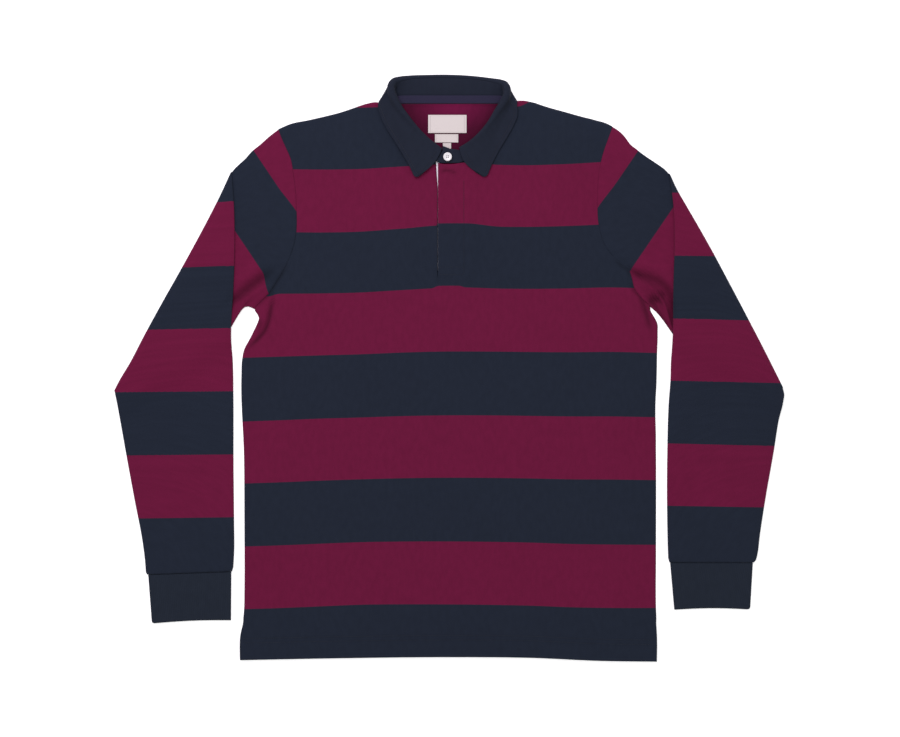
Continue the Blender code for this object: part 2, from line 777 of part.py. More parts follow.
def build_tape():
    """The tape over the back neck seam, on the inner face of the stand."""
    sections = collar_sections(COLLAR_STATIONS)
    back = [s for s in sections if abs(s["seam"][0]) < TAPE_HALF_LENGTH and not s["on_front"]]
    lie = COLLAR_CLOTH / 2 + SEAM_GAP + THIN_CLOTH / 2

    def place(column, row):
        beside = back[max(column - 1, 0)], back[min(column + 1, len(back) - 1)]
        across = beside[1]["seam"] - beside[0]["seam"]
        line = beside_stand(stand_section(back[column]), across, lie)
        return at_length(line, TAPE_WIDTH * row / TAPE_STEPS)

    return cloth("neck_tape", grid(len(back) - 1, TAPE_STEPS, place), TAPE_TWILL, THIN_CLOTH)


# Button ------------------------------------------------------------------------------


def build_button():
    """A four-hole button with a raised rim, on the upper end of the stand."""
    centre = Vector((*BUTTON_PLACE, BUTTON_SEAT)) * MM
    mesh = bmesh.new()
    bmesh.ops.create_cone(
        mesh,
        cap_ends=True,
        segments=BUTTON_SIDES,
        radius1=BUTTON_RADIUS * MM,
        radius2=BUTTON_RADIUS * MM,
        depth=BUTTON_THICK * MM,
    )
    top = max(mesh.faces, key=lambda f: f.calc_center_median().z)
    bmesh.ops.inset_individual(mesh, faces=[top], thickness=BUTTON_RIM * MM)
    bmesh.ops.inset_individual(mesh, faces=[top], thickness=BUTTON_DISH * MM)
    for point in top.verts:
        point.co.z -= BUTTON_DISH * MM
    for point in mesh.verts:
        point.co += centre + Vector((0, 0, BUTTON_THICK / 2 * MM))
    made = piece("neck_button", mesh, BUTTON_GLOSS)
    for k in range(BUTTON_HOLES):
        turn = math.tau * (k + 0.5) / BUTTON_HOLES
        reach = BUTTON_HOLE_REACH * MM
        spot = centre + Vector((math.cos(turn) * reach, math.sin(turn) * reach, 0))
        cut_hole(made, spot, k)
    return made


def cut_hole(button, spot, number):
    mesh = bmesh.new()
    bmesh.ops.create_cone(
        mesh,
        cap_ends=True,
        segments=BUTTON_HOLE_SIDES,
        radius1=BUTTON_HOLE_RADIUS * MM,
        radius2=BUTTON_HOLE_RADIUS * MM,
        depth=4 * BUTTON_THICK * MM,
    )
    bmesh.ops.translate(mesh, verts=mesh.verts, vec=spot)
    cutter = piece(f"hole_{number}", mesh, BUTTON_GLOSS)
    cutter.hide_render = True
    cutter.display_type = "WIRE"
    cut = button.modifiers.new(f"hole {number}", "BOOLEAN")
    cut.operation = "DIFFERENCE"
    cut.object = cutter


for old in list(bpy.data.objects):
    bpy.data.objects.remove(old)

STRIPED = material("striped jersey", BURGUNDY, 0.85)
BURGUNDY_JERSEY = material("burgundy jersey", BURGUNDY, 0.85)
NAVY_RIB = material("navy rib", NAVY, 0.85)
NAVY_TWILL = material("navy twill", NAVY, 0.8)
TAPE_TWILL = material("neck tape", NAVY, 0.8)
WHITE_TWILL = material("white twill", WHITE, 0.8)
LABEL_SATIN = material("label satin", CREAM, 0.5)
BUTTON_GLOSS = material("button", WHITE, 0.25)

build_back()
build_front()
build_facing()
build_patch()
build_labels()
for side in SLEEVES:
    build_sleeve(side)
    build_cuff(side)
build_collar()
build_tape()
build_button()
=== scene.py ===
# %% [markdown]
# # A rugby shirt, laid out flat
# A rugby shirt is cut from heavy striped jersey: a front, a back and two long sleeves, with a
# twill collar, ribbed cuffs and a placket that hides its buttons. Here it lies on its back with
# both sleeves folded down over the front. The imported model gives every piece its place, and this
# script dresses each of them in cloth with its own knit, stripes, seams and creases.

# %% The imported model
import math

import bmesh
import bpy
import numpy as np
from mathutils import Matrix, Vector


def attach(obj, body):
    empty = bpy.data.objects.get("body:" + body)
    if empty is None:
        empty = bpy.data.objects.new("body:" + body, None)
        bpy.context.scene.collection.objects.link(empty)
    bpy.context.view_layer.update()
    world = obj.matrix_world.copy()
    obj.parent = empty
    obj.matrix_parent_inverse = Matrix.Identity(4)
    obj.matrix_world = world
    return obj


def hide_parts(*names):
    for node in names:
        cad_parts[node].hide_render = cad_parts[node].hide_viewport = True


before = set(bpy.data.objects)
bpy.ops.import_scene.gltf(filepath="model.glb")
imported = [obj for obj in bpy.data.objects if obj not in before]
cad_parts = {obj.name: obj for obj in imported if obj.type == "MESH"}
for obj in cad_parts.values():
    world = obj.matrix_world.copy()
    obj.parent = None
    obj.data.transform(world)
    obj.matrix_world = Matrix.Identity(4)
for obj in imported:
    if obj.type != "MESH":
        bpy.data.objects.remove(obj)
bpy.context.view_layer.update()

MM = 0.001

# %% [markdown]
# ## Camera, floor and light
# A shop shows a shirt from straight above on a white table, under light so soft that only folds
# and edges throw shade. A long lens high up keeps both cuffs in true proportion. The world gives
# most of the light, and two large lamps add a little direction, so that the creases and the
# collar stand out.

# %% Camera
CAMERA_HEIGHT = 2.83
CAMERA_LENS = 85

lens = bpy.data.cameras.new("camera")
lens.lens = CAMERA_LENS
camera = bpy.data.objects.new("camera", lens)
camera.location = (0, 0, CAMERA_HEIGHT)
bpy.context.scene.collection.objects.link(camera)
bpy.context.scene.camera = camera
bpy.context.scene.view_settings.view_transform = "Standard"
print("the camera sees", round(CAMERA_HEIGHT * lens.sensor_width / CAMERA_LENS, 3), "m across")

# %% Soft light
WORLD_STRENGTH = 0.74
LAMPS = {  # name: (place, size in metres, watts, colour)
    "key": ((-0.55, 1.2, 1.6), 1.1, 24, (1.0, 0.9, 1.03)),
    "fill": ((1.5, -0.9, 2.2), 2.0, 5, (1.0, 1.0, 1.0)),
}

world = bpy.data.worlds.new("studio")
world.use_nodes = True
world.node_tree.nodes["Background"].inputs["Color"].default_value = (1, 1, 1, 1)
world.node_tree.nodes["Background"].inputs["Strength"].default_value = WORLD_STRENGTH
bpy.context.scene.world = world
for name, (place, size, watts, colour) in LAMPS.items():
    light = bpy.data.lights.new(name, "AREA")
    light.color = colour
    light.size = size
    light.energy = watts
    lamp = bpy.data.objects.new(name, light)
    lamp.location = place
    lamp.rotation_euler = (-Vector(place)).to_track_quat("-Z", "Y").to_euler()
    lamp.visible_camera = False
    bpy.context.scene.collection.objects.link(lamp)
print(len(LAMPS), "lamps")

# %% [markdown]
# ## Writing shaders as sums
# A finish such as a knit is arithmetic on the cloth's own coordinates. A small class wraps a
# socket and adds a Math node for each operator, so a pattern reads as a formula. Everything else
# comes from one method that makes a node, sets it up and feeds its sockets.


# %% Sockets that add up
class Socket:
    """A value in a material's nodes, which adds Math nodes as it is used in sums."""

    def __init__(self, finish, output):
        self.finish = finish
        self.output = output

    def math(self, operation, *others):
        feeds = {str(k): value for k, value in enumerate((self, *others))}
        return self.finish.node("ShaderNodeMath", {"operation": operation}, feeds)

    def reflected(self, operation, other):
        feeds = {"0": other, "1": self}
        return self.finish.node("ShaderNodeMath", {"operation": operation}, feeds)

    def __add__(self, other):
        return self.math("ADD", other)

    def __sub__(self, other):
        return self.math("SUBTRACT", other)

    def __mul__(self, other):
        return self.math("MULTIPLY", other)

    def __truediv__(self, other):
        return self.math("DIVIDE", other)

    def __rsub__(self, other):
        return self.reflected("SUBTRACT", other)

    __radd__ = __add__
    __rmul__ = __mul__

    def wave(self):
        """0 to 1 and back once for each whole number, as a sine."""
        return (self * math.tau).math("SINE") * 0.5 + 0.5

    def ramp(self, low, high):
        """0 below low, 1 above high."""
        feeds = {"Value": self, "From Min": low, "From Max": high}
        return self.finish.node("ShaderNodeMapRange", {"clamp": True}, feeds)


print("sockets add, subtract, multiply and divide")


# %% A finish and its nodes
class Finish:
    """One material: a Principled shader, and the nodes that feed it."""

    def __init__(self, name, roughness, sheen=0.0, specular=0.3):
        self.material = bpy.data.materials.new(name)
        self.material.use_nodes = True
        self.tree = self.material.node_tree
        self.shader = self.tree.nodes["Principled BSDF"]
        self.shader.inputs["Roughness"].default_value = roughness
        self.shader.inputs["Sheen Weight"].default_value = sheen
        self.shader.inputs["Sheen Roughness"].default_value = 0.5
        self.shader.inputs["Specular IOR Level"].default_value = specular

    def node(self, kind, settings, feeds, output=0):
        """Makes a node, sets it up, feeds its sockets by name or number, and gives an output."""
        made = self.tree.nodes.new(kind)
        for key, value in settings.items():
            setattr(made, key, value)
        for key, value in feeds.items():
            self.feed(self.socket_of(made, key), value)
        return Socket(self, made.outputs[output])

    @staticmethod
    def socket_of(made, key):
        if key.isdigit():
            return made.inputs[int(key)]
        return next(s for s in made.inputs if key in (s.identifier, s.name))

    def feed(self, socket, value):
        if isinstance(value, Socket):
            self.tree.links.new(value.output, socket)
        elif isinstance(value, tuple) and len(value) == 3 and socket.type == "RGBA":
            socket.default_value = (*value, 1)
        else:
            socket.default_value = value

    def mix(self, share, low, high):
        """From the colour low to the colour high."""
        feeds = {"Factor_Float": share, "A_Color": low, "B_Color": high}
        return self.node("ShaderNodeMix", {"data_type": "RGBA"}, feeds, output=2)

    def cloth(self):
        """The cloth's own coordinates in metres, across and along."""
        uv = self.node("ShaderNodeUVMap", {"uv_map": "cloth"}, {})
        return [self.node("ShaderNodeSeparateXYZ", {}, {"Vector": uv}, output=k) for k in (0, 1)]

    def in_folds(self, colour):
        """The colour with painted shade: darker by the mesh's own 'fold' value, which is high where
        the cloth lies in a trough or in the collar's shade.
        """
        fold = self.node("ShaderNodeAttribute", {"attribute_name": "fold"}, {}, output=2)
        return self.mix(fold * PAINTED_SHADE_STRENGTH, colour, (0.0, 0.0, 0.0))

    def noise(self, scale, detail=2.0):
        """Cloudy noise on the object, about 0 to 1."""
        place = self.node("ShaderNodeTexCoord", {}, {}, output=3)
        feeds = {"Vector": place, "Scale": scale, "Detail": detail}
        return self.node("ShaderNodeTexNoise", {}, feeds)

    def streaks(self, across, along):
        """Cloudy noise in the cloth's own plane, with a scale for each way."""
        uv = self.node("ShaderNodeUVMap", {"uv_map": "cloth"}, {})
        place = self.node("ShaderNodeMapping", {}, {"Vector": uv, "Scale": (across, along, 1.0)})
        feeds = {"Vector": place, "Scale": 1.0, "Detail": 1.0}
        return self.node("ShaderNodeTexNoise", {}, feeds)

    def colour(self, value):
        self.feed(self.shader.inputs["Base Color"], value)

    def bump(self, height, distance, strength):
        """Relief as light and shade: a height of 1 stands for the distance, in metres."""
        feeds = {"Height": height, "Distance": distance, "Strength": strength}
        self.feed(self.shader.inputs["Normal"], self.node("ShaderNodeBump", {}, feeds))


print("one method makes every node")

# %% [markdown]
# ## Striped jersey
# Single jersey is columns of small V-shaped stitches, called wales, each row of them a course. The
# hoops are knitted in, so their edges follow a course exactly, and each stitch takes its dye a
# little differently. The pattern reads the cloth's own coordinates, so the hoops bend wherever the
# cloth was pulled askew.

# %% Knit and hoops
NAVY = (0.0113, 0.0160, 0.0280)
BURGUNDY = (0.1180, 0.0053, 0.0338)
HOOP = 0.0837
WALE, COURSE = 0.00125, 0.00095
HEATHER, CLOUDS, STREAKS = 1400, 14, (170, 80)
HEATHER_SHARE, HEATHER_LIFT, HEATHER_RAMP = 0.16, 0.0006, (0.25, 0.75)
CLOUD_SHARE, STREAK_SHARE, STREAK_RAMP = 0.28, 0.3, (0.3, 0.7)
PAINTED_SHADE_STRENGTH = 0.55


def toned(colour, factor):
    """The colour, made darker or lighter."""
    return tuple(c * factor for c in colour)


def knit(across, along, wale, course):
    """The height of jersey's stitches: columns of Vs."""
    leg = ((across / wale).math("FRACT") * 2 - 1).math("ABSOLUTE")
    slant = (along / course + leg * 0.5).math("FRACT")
    loop = (slant * math.pi).math("SINE")
    valley = (leg * math.pi).math("SINE").math("POWER", 0.5)
    return loop * valley


def dyed(finish, colour):
    """A yarn's colour, with the heather of single yarns, faint streaks and soft clouds."""
    lighter = tuple(c + HEATHER_LIFT for c in toned(colour, 1 + HEATHER_SHARE))
    yarns = finish.noise(HEATHER).ramp(*HEATHER_RAMP) * (1 - CLOUD_SHARE - STREAK_SHARE)
    clouds = finish.noise(CLOUDS, detail=4.0) * CLOUD_SHARE
    streaks = finish.streaks(*STREAKS).ramp(*STREAK_RAMP) * STREAK_SHARE
    return finish.mix(yarns + clouds + streaks, toned(colour, 1 - HEATHER_SHARE), lighter)


def striped_jersey():
    finish = Finish("striped jersey", roughness=0.9, sheen=0.02, specular=0.1)
    across, along = finish.cloth()
    stitch = ((across / WALE).math("FRACT") * 2 - 1).math("ABSOLUTE") * (COURSE * 0.5)
    hoop = ((along + stitch) / (2 * HOOP)).math("FRACT")
    is_navy = hoop.math("LESS_THAN", 0.5)
    yarn = finish.mix(is_navy, dyed(finish, BURGUNDY), dyed(finish, NAVY))
    # Painted shade: the hoops' colour is darkened in the creases' troughs.
    finish.colour(finish.in_folds(yarn))
    finish.bump(knit(across, along, WALE, COURSE), distance=0.00022, strength=0.55)
    return finish.material


STRIPED = striped_jersey()
print("hoops of", HOOP / MM, "mm on wales of", WALE / MM, "mm")

# %% [markdown]
# ## Twill, rib, tape, labels and thread
# The collar is a firm cotton twill, whose yarns step along in fine diagonal ridges. The cuffs are
# knitted rib, the neck seam is covered by herringbone tape, and the labels are smooth woven satin
# with a narrow border and nothing else on them. Each of these is one formula on the same
# coordinates.

# %% The plain finishes
TWILL_PITCH = 0.0011
RIB_PITCH = 0.0026
TAPE_PITCH, TAPE_TURN = 0.0012, 0.0085
LABEL_BORDER, BORDER_BLUR = (0.425, 0.455), 0.01
LABEL_WEFTS, LABEL_WARPS = 60, 90
THREAD_FLECKS = 3000
PATCH_RED = (0.120, 0.0042, 0.038)
COLLAR_NAVY = (0.0098, 0.0133, 0.0242)
RIB_NAVY = (0.0124, 0.0172, 0.0275)
TAPE_NAVY = (0.0195, 0.0178, 0.041)
WHITE = (0.82, 0.80, 0.84)
CREAM = (0.60, 0.545, 0.525)
THREAD = (0.0082, 0.0105, 0.019)


def twill(name, colour):
    """Diagonal ridges, with a hint of the single yarns between them."""
    finish = Finish(name, roughness=0.82, sheen=0.02, specular=0.12)
    across, along = finish.cloth()
    ridge = ((across + along) / TWILL_PITCH).wave()
    yarn = (across / (TWILL_PITCH / 2)).wave() * 0.35
    finish.colour(dyed(finish, colour))
    finish.bump(ridge + yarn, distance=0.00014, strength=0.6)
    return finish.material


def rib(name, colour):
    """Round ribs knitted in small stitches, with shade painted into the grooves between them."""
    finish = Finish(name, roughness=0.9, sheen=0.02, specular=0.1)
    across, along = finish.cloth()
    ridge = (across / RIB_PITCH).wave().math("POWER", 0.6)
    stitches = knit(across, along, RIB_PITCH / 2, COURSE)
    shade = dyed(finish, colour)
    # Painted shade: the grooves get a darker colour.
    finish.colour(finish.mix(ridge.ramp(0.0, 0.5), toned(colour, 0.9), shade))
    finish.bump(ridge + stitches * 0.25, distance=0.00035, strength=0.45)
    return finish.material


def plain_jersey(name, colour):
    finish = Finish(name, roughness=0.9, sheen=0.02, specular=0.1)
    across, along = finish.cloth()
    # Painted shade: the mesh's 'fold' value darkens the colour.
    finish.colour(finish.in_folds(dyed(finish, colour)))
    finish.bump(knit(across, along, WALE, COURSE), distance=0.0002, strength=0.55)
    return finish.material


def herringbone(name, colour):
    """Ridges that slant one way and then the other, turn by turn, with painted light and shade:
    lighter on the ridges, darker between them.
    """
    finish = Finish(name, roughness=0.8, sheen=0.02, specular=0.12)
    across, along = finish.cloth()
    turn = ((along / TAPE_TURN * 2).math("FRACT") * 2 - 1).math("ABSOLUTE") * (TAPE_TURN / 2)
    ridge = ((across + turn) / TAPE_PITCH).wave()
    # Painted highlight on the ridges and painted shade between them.
    finish.colour(finish.mix(ridge, toned(colour, 0.72), toned(colour, 1.2)))
    finish.bump(ridge, distance=0.00014, strength=0.6)
    return finish.material


def satin_label(name, colour):
    """Smooth woven ribbon with a fine border, from 0 to 1 across and along."""
    finish = Finish(name, roughness=0.55, specular=0.4)
    across, along = finish.cloth()
    edge = (across - 0.5).math("ABSOLUTE").math("MAXIMUM", (along - 0.5).math("ABSOLUTE"))
    inner, outer = LABEL_BORDER
    border = edge.ramp(inner, inner + BORDER_BLUR) - edge.ramp(outer, outer + BORDER_BLUR)
    threads = (along * LABEL_WEFTS).wave() * 0.6 + (across * LABEL_WARPS).wave() * 0.4
    # Painted shade: the colour is a little darker between the threads.
    ground = finish.mix(threads, toned(colour, 0.9), colour)
    finish.colour(finish.mix(border * 0.35, ground, toned(colour, 0.55)))
    finish.bump(threads, distance=0.00006, strength=0.5)
    return finish.material


def thread(name, colour):
    finish = Finish(name, roughness=0.7, sheen=0.05)
    finish.colour(finish.mix(finish.noise(THREAD_FLECKS), toned(colour, 0.8), colour))
    return finish.material


TWILL = twill("navy twill", COLLAR_NAVY)
RIB = rib("navy rib", RIB_NAVY)
TAPE = herringbone("herringbone tape", TAPE_NAVY)
PATCH_JERSEY = plain_jersey("burgundy jersey", PATCH_RED)
WHITE_TWILL = twill("white twill", WHITE)
LABEL_SATIN = satin_label("label satin", CREAM)
NAVY_THREAD = thread("navy thread", THREAD)
WHITE_THREAD = thread("white thread", WHITE)
print(len(bpy.data.materials), "finishes so far")

# %% [markdown]
# ## The floor
# A large white sheet just under the shirt. It glows a little, as a light table does, so that it
# stays white right up to the cloth. A bmesh is only a workshop for a shape: one helper puts what
# was made there into the scene, and every later piece uses it too.

# %% Floor
FLOOR_HALF, FLOOR_DROP, FLOOR_GLOW = 40.0, 0.0002, 0.42
PAPER, PAPER_LIGHT, PAPER_CLOUDS = (0.90, 0.90, 0.90), (0.92, 0.92, 0.92), 40


def object_from(name, mesh):
    """Puts a bmesh into the scene as an object."""
    data = bpy.data.meshes.new(name)
    mesh.to_mesh(data)
    mesh.free()
    made = bpy.data.objects.new(name, data)
    bpy.context.scene.collection.objects.link(made)
    return made


mesh = bmesh.new()
bmesh.ops.create_grid(mesh, x_segments=1, y_segments=1, size=FLOOR_HALF)
bmesh.ops.translate(mesh, verts=mesh.verts, vec=(0, 0, -FLOOR_DROP))
floor = object_from("floor", mesh)
paper = Finish("white paper", roughness=0.95, specular=0.1)
paper.colour(paper.mix(paper.noise(PAPER_CLOUDS), PAPER, PAPER_LIGHT))
paper.shader.inputs["Emission Color"].default_value = (1, 1, 1, 1)
paper.shader.inputs["Emission Strength"].default_value = FLOOR_GLOW
floor.data.materials.append(paper.material)
print("floor", 2 * FLOOR_HALF, "m square")

# %% [markdown]
# ## Lines, fades and sheets
# Every outline and section is a short table of real sizes in millimetres, read as a smooth curve.
# A piece of cloth starts as one of Blender's grids, with its points moved all at once to where a
# function puts them, and its own coordinates kept as a UV map. A Solidify modifier then gives it
# its wall.


# %% Reading tables smoothly
def smooth(t):
    """0 below 0, 1 above 1 and an even slope between."""
    t = np.clip(t, 0, 1)
    return t * t * (3 - 2 * t)


def fade(value, full, none):
    """1 at full, 0 at none and smooth between."""
    return smooth((value - none) / (full - none))


def window(value, ends):
    """1 between the two inner ends, 0 beyond the outer ones and smooth between."""
    return fade(value, ends[1], ends[0]) * fade(value, ends[2], ends[3])


def lerp(a, b, t):
    return a + (b - a) * t


def unit(vector):
    return vector / np.linalg.norm(vector)


def lengths(line):
    """The length along a line of points, from its start to each of them."""
    steps = np.linalg.norm(np.diff(line, axis=0), axis=1)
    return np.concatenate([[0], np.cumsum(steps)])


class Curve:
    """A smooth curve through a table's rows, read by one of its columns or, without one, by the
    share of its length."""

    def __init__(self, rows, key=None):
        self.rows = np.array(rows, float)
        if key is None:
            self.at = lengths(self.rows[:, :3])
            self.at /= self.at[-1]
        else:
            self.at = self.rows[:, key]
        self.slopes = np.gradient(self.rows, self.at, axis=0)

    def __call__(self, t):
        t = np.clip(np.asarray(t, float), self.at[0], self.at[-1])
        k = np.clip(np.searchsorted(self.at, t) - 1, 0, len(self.at) - 2)
        span = (self.at[k + 1] - self.at[k])[..., None]
        s = (t - self.at[k])[..., None] / span
        return (
            (2 * s**3 - 3 * s**2 + 1) * self.rows[k]
            + (s**3 - 2 * s**2 + s) * self.slopes[k] * span
            + (3 * s**2 - 2 * s**3) * self.rows[k + 1]
            + (s**3 - s**2) * self.slopes[k + 1] * span
        )


print("halfway along a bow:", Curve([(0, 0), (10, 4), (20, 0)])(0.5).round(2))


# %% Sheets and pieces
RIM_SEGMENTS, RIM_ANGLE = 2, math.radians(55)
MERGED = 0.01


def share_grid(columns, rows):
    """Shares from 0 to 1 across and up, for every point of a sheet."""
    return np.meshgrid(np.linspace(0, 1, columns + 1), np.linspace(0, 1, rows + 1))


def sheet_mesh(points, weave):
    """A grid with its points at points[row, column] in mm, and weave[row, column] as its UVs and,
    where there is a third value, the painted shade there, kept as the mesh's 'fold' value."""
    rows, columns = points.shape[0] - 1, points.shape[1] - 1
    mesh = bmesh.new()
    bmesh.ops.create_grid(mesh, x_segments=columns, y_segments=rows, size=1)
    # The 'fold' layer carries painted shade, which the shader uses to darken the colour.
    fold = mesh.verts.layers.float.new("fold")
    start = np.array([point.co[:2] for point in mesh.verts])
    column = np.rint((start[:, 0] + 1) / 2 * columns).astype(int)
    row = np.rint((start[:, 1] + 1) / 2 * rows).astype(int)
    for point, spot, depth in zip(mesh.verts, points[row, column] * MM, weave[row, column, 2:]):
        point.co = spot
        point[fold] = depth.sum()
    spots = weave[row, column, :2].tolist()
    mesh.verts.index_update()
    layer = mesh.loops.layers.uv.new("cloth")
    for face in mesh.faces:
        face.smooth = True
        for corner in face.loops:
            corner[layer].uv = spots[corner.vert.index]
    return mesh


def piece(name, mesh, material):
    """Makes the bmesh an object that rides with the shirt, in the finish it is given."""
    made = object_from(name, mesh)
    made.data.materials.append(material)
    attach(made, "root")
    return made


def cloth_wall(made, thickness, rounding=0.0, even=True):
    """Gives a sheet its thickness, half on each side, and rounds its rims."""
    wall = made.modifiers.new("wall", "SOLIDIFY")
    wall.thickness = thickness * MM
    wall.offset = 0
    wall.use_even_offset = even
    wall.use_quality_normals = True
    if rounding:
        rim = made.modifiers.new("rim", "BEVEL")
        rim.width = rounding * MM
        rim.segments = RIM_SEGMENTS
        rim.limit_method = "ANGLE"
        rim.angle_limit = RIM_ANGLE
    return made


def flat_area(made):
    """The area of a sheet before it has its wall, in square metres."""
    return sum(face.area for face in made.data.polygons)


print("sheets ready")

# %% [markdown]
# ## The body's outline
# The front and the back share one outline: side seams up to the underarms, the armholes, the
# shoulders and the hem. A short table gives the heights of a few rows at the sides and at the
# middle, because the rows bow upwards towards the shoulders.

# %% Outline
JERSEY, COLLAR_CLOTH, THIN_CLOTH, LABEL_CLOTH = 1.5, 1.6, 1.0, 0.6
LAYER_GAP, SEAM_GAP = 0.6, 0.3
BACK_MIDDLE = JERSEY / 2
FRONT_MIDDLE = BACK_MIDDLE + JERSEY + LAYER_GAP
TUBE_HEIGHT = 2 * JERSEY + LAYER_GAP

LEFT_EDGE = [
    (-279.4, -388), (-279.7, -370), (-279.2, -358), (-274.9, -337), (-273.3, -318),
    (-273, -300), (-273, -200), (-273.5, -120),
    (-277, -10), (-276, 12), (-273, 26), (-266.5, 38), (-259.5, 52), (-255, 62),
    (-253.6, 67), (-255.5, 72), (-259.5, 79), (-253, 87), (-246, 94), (-239.5, 101), (-231, 114),
    (-223.5, 126), (-207, 165), (-204, 215), (-208.5, 262), (-212.4, 281), (-216.4, 290),
    (-222.8, 304), (-228.2, 318),
]
RIGHT_EDGE = [
    (275.2, -390), (275.4, -358), (274, -332), (273.5, -315), (273.5, -250), (273.5, -110),
    (273.3, -84), (272.7, -61), (273, -42), (274, -24),
    (275, 20), (275.7, 48), (275, 61), (270.3, 69.6), (266, 77.5), (265.5, 83), (253, 95),
    (245, 107), (242, 119), (237.5, 131), (228, 139.5), (215, 151), (204, 168), (197.5, 192),
    (196, 217), (201, 277), (216, 321.5),
]
HEM = [(-279.4, -388), (-150, -385.5), (0, -384), (110, -385), (200, -389), (275.2, -390)]
LEFT_SHOULDER = [
    (-228.2, 318), (-213, 324.6), (-188, 329.9), (-165, 335.2), (-144, 340.5), (-128, 345.8),
    (-112, 351.1), (-98, 353.5), (-84, 350),
]
RIGHT_SHOULDER = [
    (84, 354.4), (92, 355.5), (99, 355.4), (106, 354.1), (113, 352.5), (120, 350.1),
    (131.8, 346.4), (153, 340.7), (172, 335.4),
    (193, 330.0), (210.4, 324.6), (216, 321.5),
]
FRONT_NECK = [
    (-84, 350), (-81, 335), (-66, 306), (-40, 283), (-16, 273), (10, 272.6), (40, 283),
    (66, 306), (81, 335), (84, 351),
]
BACK_NECK = [(-84, 350), (-75, 352.6), (-60, 354), (0, 354), (60, 354), (75, 353), (84, 353)]
print("the hem is", RIGHT_EDGE[0][0] - LEFT_EDGE[0][0], "mm wide")

# %% Rows of a panel
HALF_WIDTH, HALF_SHOULDERS, BODY_HEIGHT, HEM_Y, UNDERARM_Y = 276, 210, 658, -389, 83
EDGE_SHAPE_POWER = 4
SLIT_X = -16.0
ROW_COLUMNS = ("edge_y", "front_y", "back_y")
BODY_ROWS = np.array([
    (-389, -384, -384), (-365, -361, -361), (-338, -335, -335), (-280, -278, -278),
    (-215, -214, -214), (-150, -150, -150), (-85, -85, -85), (-30, -30, -30),
    (0, 0, 0), (26, 26, 26), (52, 52, 52), (83, 83, 83),
    (108, 101, 125), (133, 120, 167), (162, 145, 207), (195, 171, 244),
    (230, 197, 277), (265, 222, 307), (297, 248, 332), (318, 274, 354),
], float)
ROW_ANCHORS = (HEM_Y, 52, UNDERARM_Y, 318)
SIDE_ANCHORS = {"left": (HEM_Y, 52, 79, 318), "right": (HEM_Y, 52, UNDERARM_Y, 321.5)}

SIDES = {"left": Curve(LEFT_EDGE, key=1), "right": Curve(RIGHT_EDGE, key=1)}
FEET = [LEFT_EDGE[0], RIGHT_EDGE[0]]
CORNERS = [LEFT_SHOULDER[0], RIGHT_SHOULDER[-1]]


def side_x(side, y):
    return SIDES[side](y)[..., 0]


def beyond_neck(x, neck):
    """Where a panel's top edge is a shoulder."""
    return (x < neck[0][0]) | (x > neck[-1][0])


def edge_heights(side):
    """The heights of the rows at one side, where its own underarm and shoulder are."""
    return np.interp(BODY_ROWS[:, 0], ROW_ANCHORS, SIDE_ANCHORS[side])


def top_y(x, neck):
    """The height of a panel's top edge: a shoulder, the neck and the other shoulder."""
    left, right, middle = (
        Curve(edge, key=0)(x)[..., 1] for edge in (LEFT_SHOULDER, RIGHT_SHOULDER, neck)
    )
    return np.where(beyond_neck(x, neck), np.where(x < 0, left, right), middle)


def panel_plan(share, up, middle_x, column, neck):
    """Where a panel's cloth lies: share runs from -1 to 1 across, and up from 0 to 1."""
    heights = BODY_ROWS[:, ROW_COLUMNS.index(column)]
    middle_y = lerp(heights[0], heights[-1], up)
    reach = abs(share)

    def at_side(pair):
        """The left side's value left of the middle, and the right side's beyond it."""
        return np.where(share < 0, *pair)

    edge_y = at_side(np.interp(middle_y, heights, edge_heights(side)) for side in SIDES)
    edge_x = at_side(side_x(side, edge_y) for side in SIDES)
    corner_x, corner_y = (at_side(values) for values in zip(*CORNERS))
    foot_at = lerp(middle_x, at_side(foot[0] for foot in FEET), reach)
    foot_drop = Curve(HEM, key=0)(foot_at)[..., 1] - lerp(heights[0], HEM_Y, reach)
    top_at = lerp(middle_x, corner_x, reach)
    top_rise = top_y(top_at, neck) - lerp(heights[-1], corner_y, reach)
    shaped = (1 - up) ** EDGE_SHAPE_POWER * foot_drop + up**EDGE_SHAPE_POWER * top_rise
    return lerp(middle_x, edge_x, reach), lerp(middle_y, edge_y, reach) + shaped


print("the body is", side_x("right", -100.0) - side_x("left", -100.0), "mm wide")

# %% [markdown]
# ## Hoops that lie a little askew
# Nobody lays a shirt out perfectly. The hoops dip towards the side seams, and they ride up where
# the placket's flap has crept towards the collar. A table gives how far they sag at four heights
# of the body, and the sum of a point's height and its sag tells which hoop it is in.

# %% Sag of the hoops
FIRST_HOOP_Y = 273.0
SAG_HEIGHTS = [-300, -60, 230, 350]
SAG = [  # x, then the sag at those heights
    (-279, 6.8, 8.4, 7.4, 8.0),
    (-226, 5.0, 6.5, 7.1, 8.5),
    (-173, 2.8, 4.3, 8.0, 9.0),
    (-120, 0.6, 2.8, 6.9, 9.9),
    (-66, 0.0, 1.0, 2.8, 8.5),
    (-30, 0.0, 0.2, 0.4, 9.0),
    (60, 0.8, 0.0, 0.0, 7.5),
    (107, 1.8, 0.6, 0.1, 9.0),
    (160, 3.9, 1.3, -1.3, 6.0),
    (213, 4.8, 1.3, -3.4, 0.0),
    (274, 5.0, 2.4, -1.2, 0.0),
]
HOOP_SHIFT = [  # y, shift
    (-315, 0.4), (-231, 0.5), (-146, -0.5), (-62, 0.4), (22, -0.8), (108, -0.8), (192, 0.7),
    (274, 0.0),
]
FLAP_RAISE, FLAP_RAISE_X, FLAP_RAISE_Y = 4.2, (-62, -16, 22, 72), (190, 60)
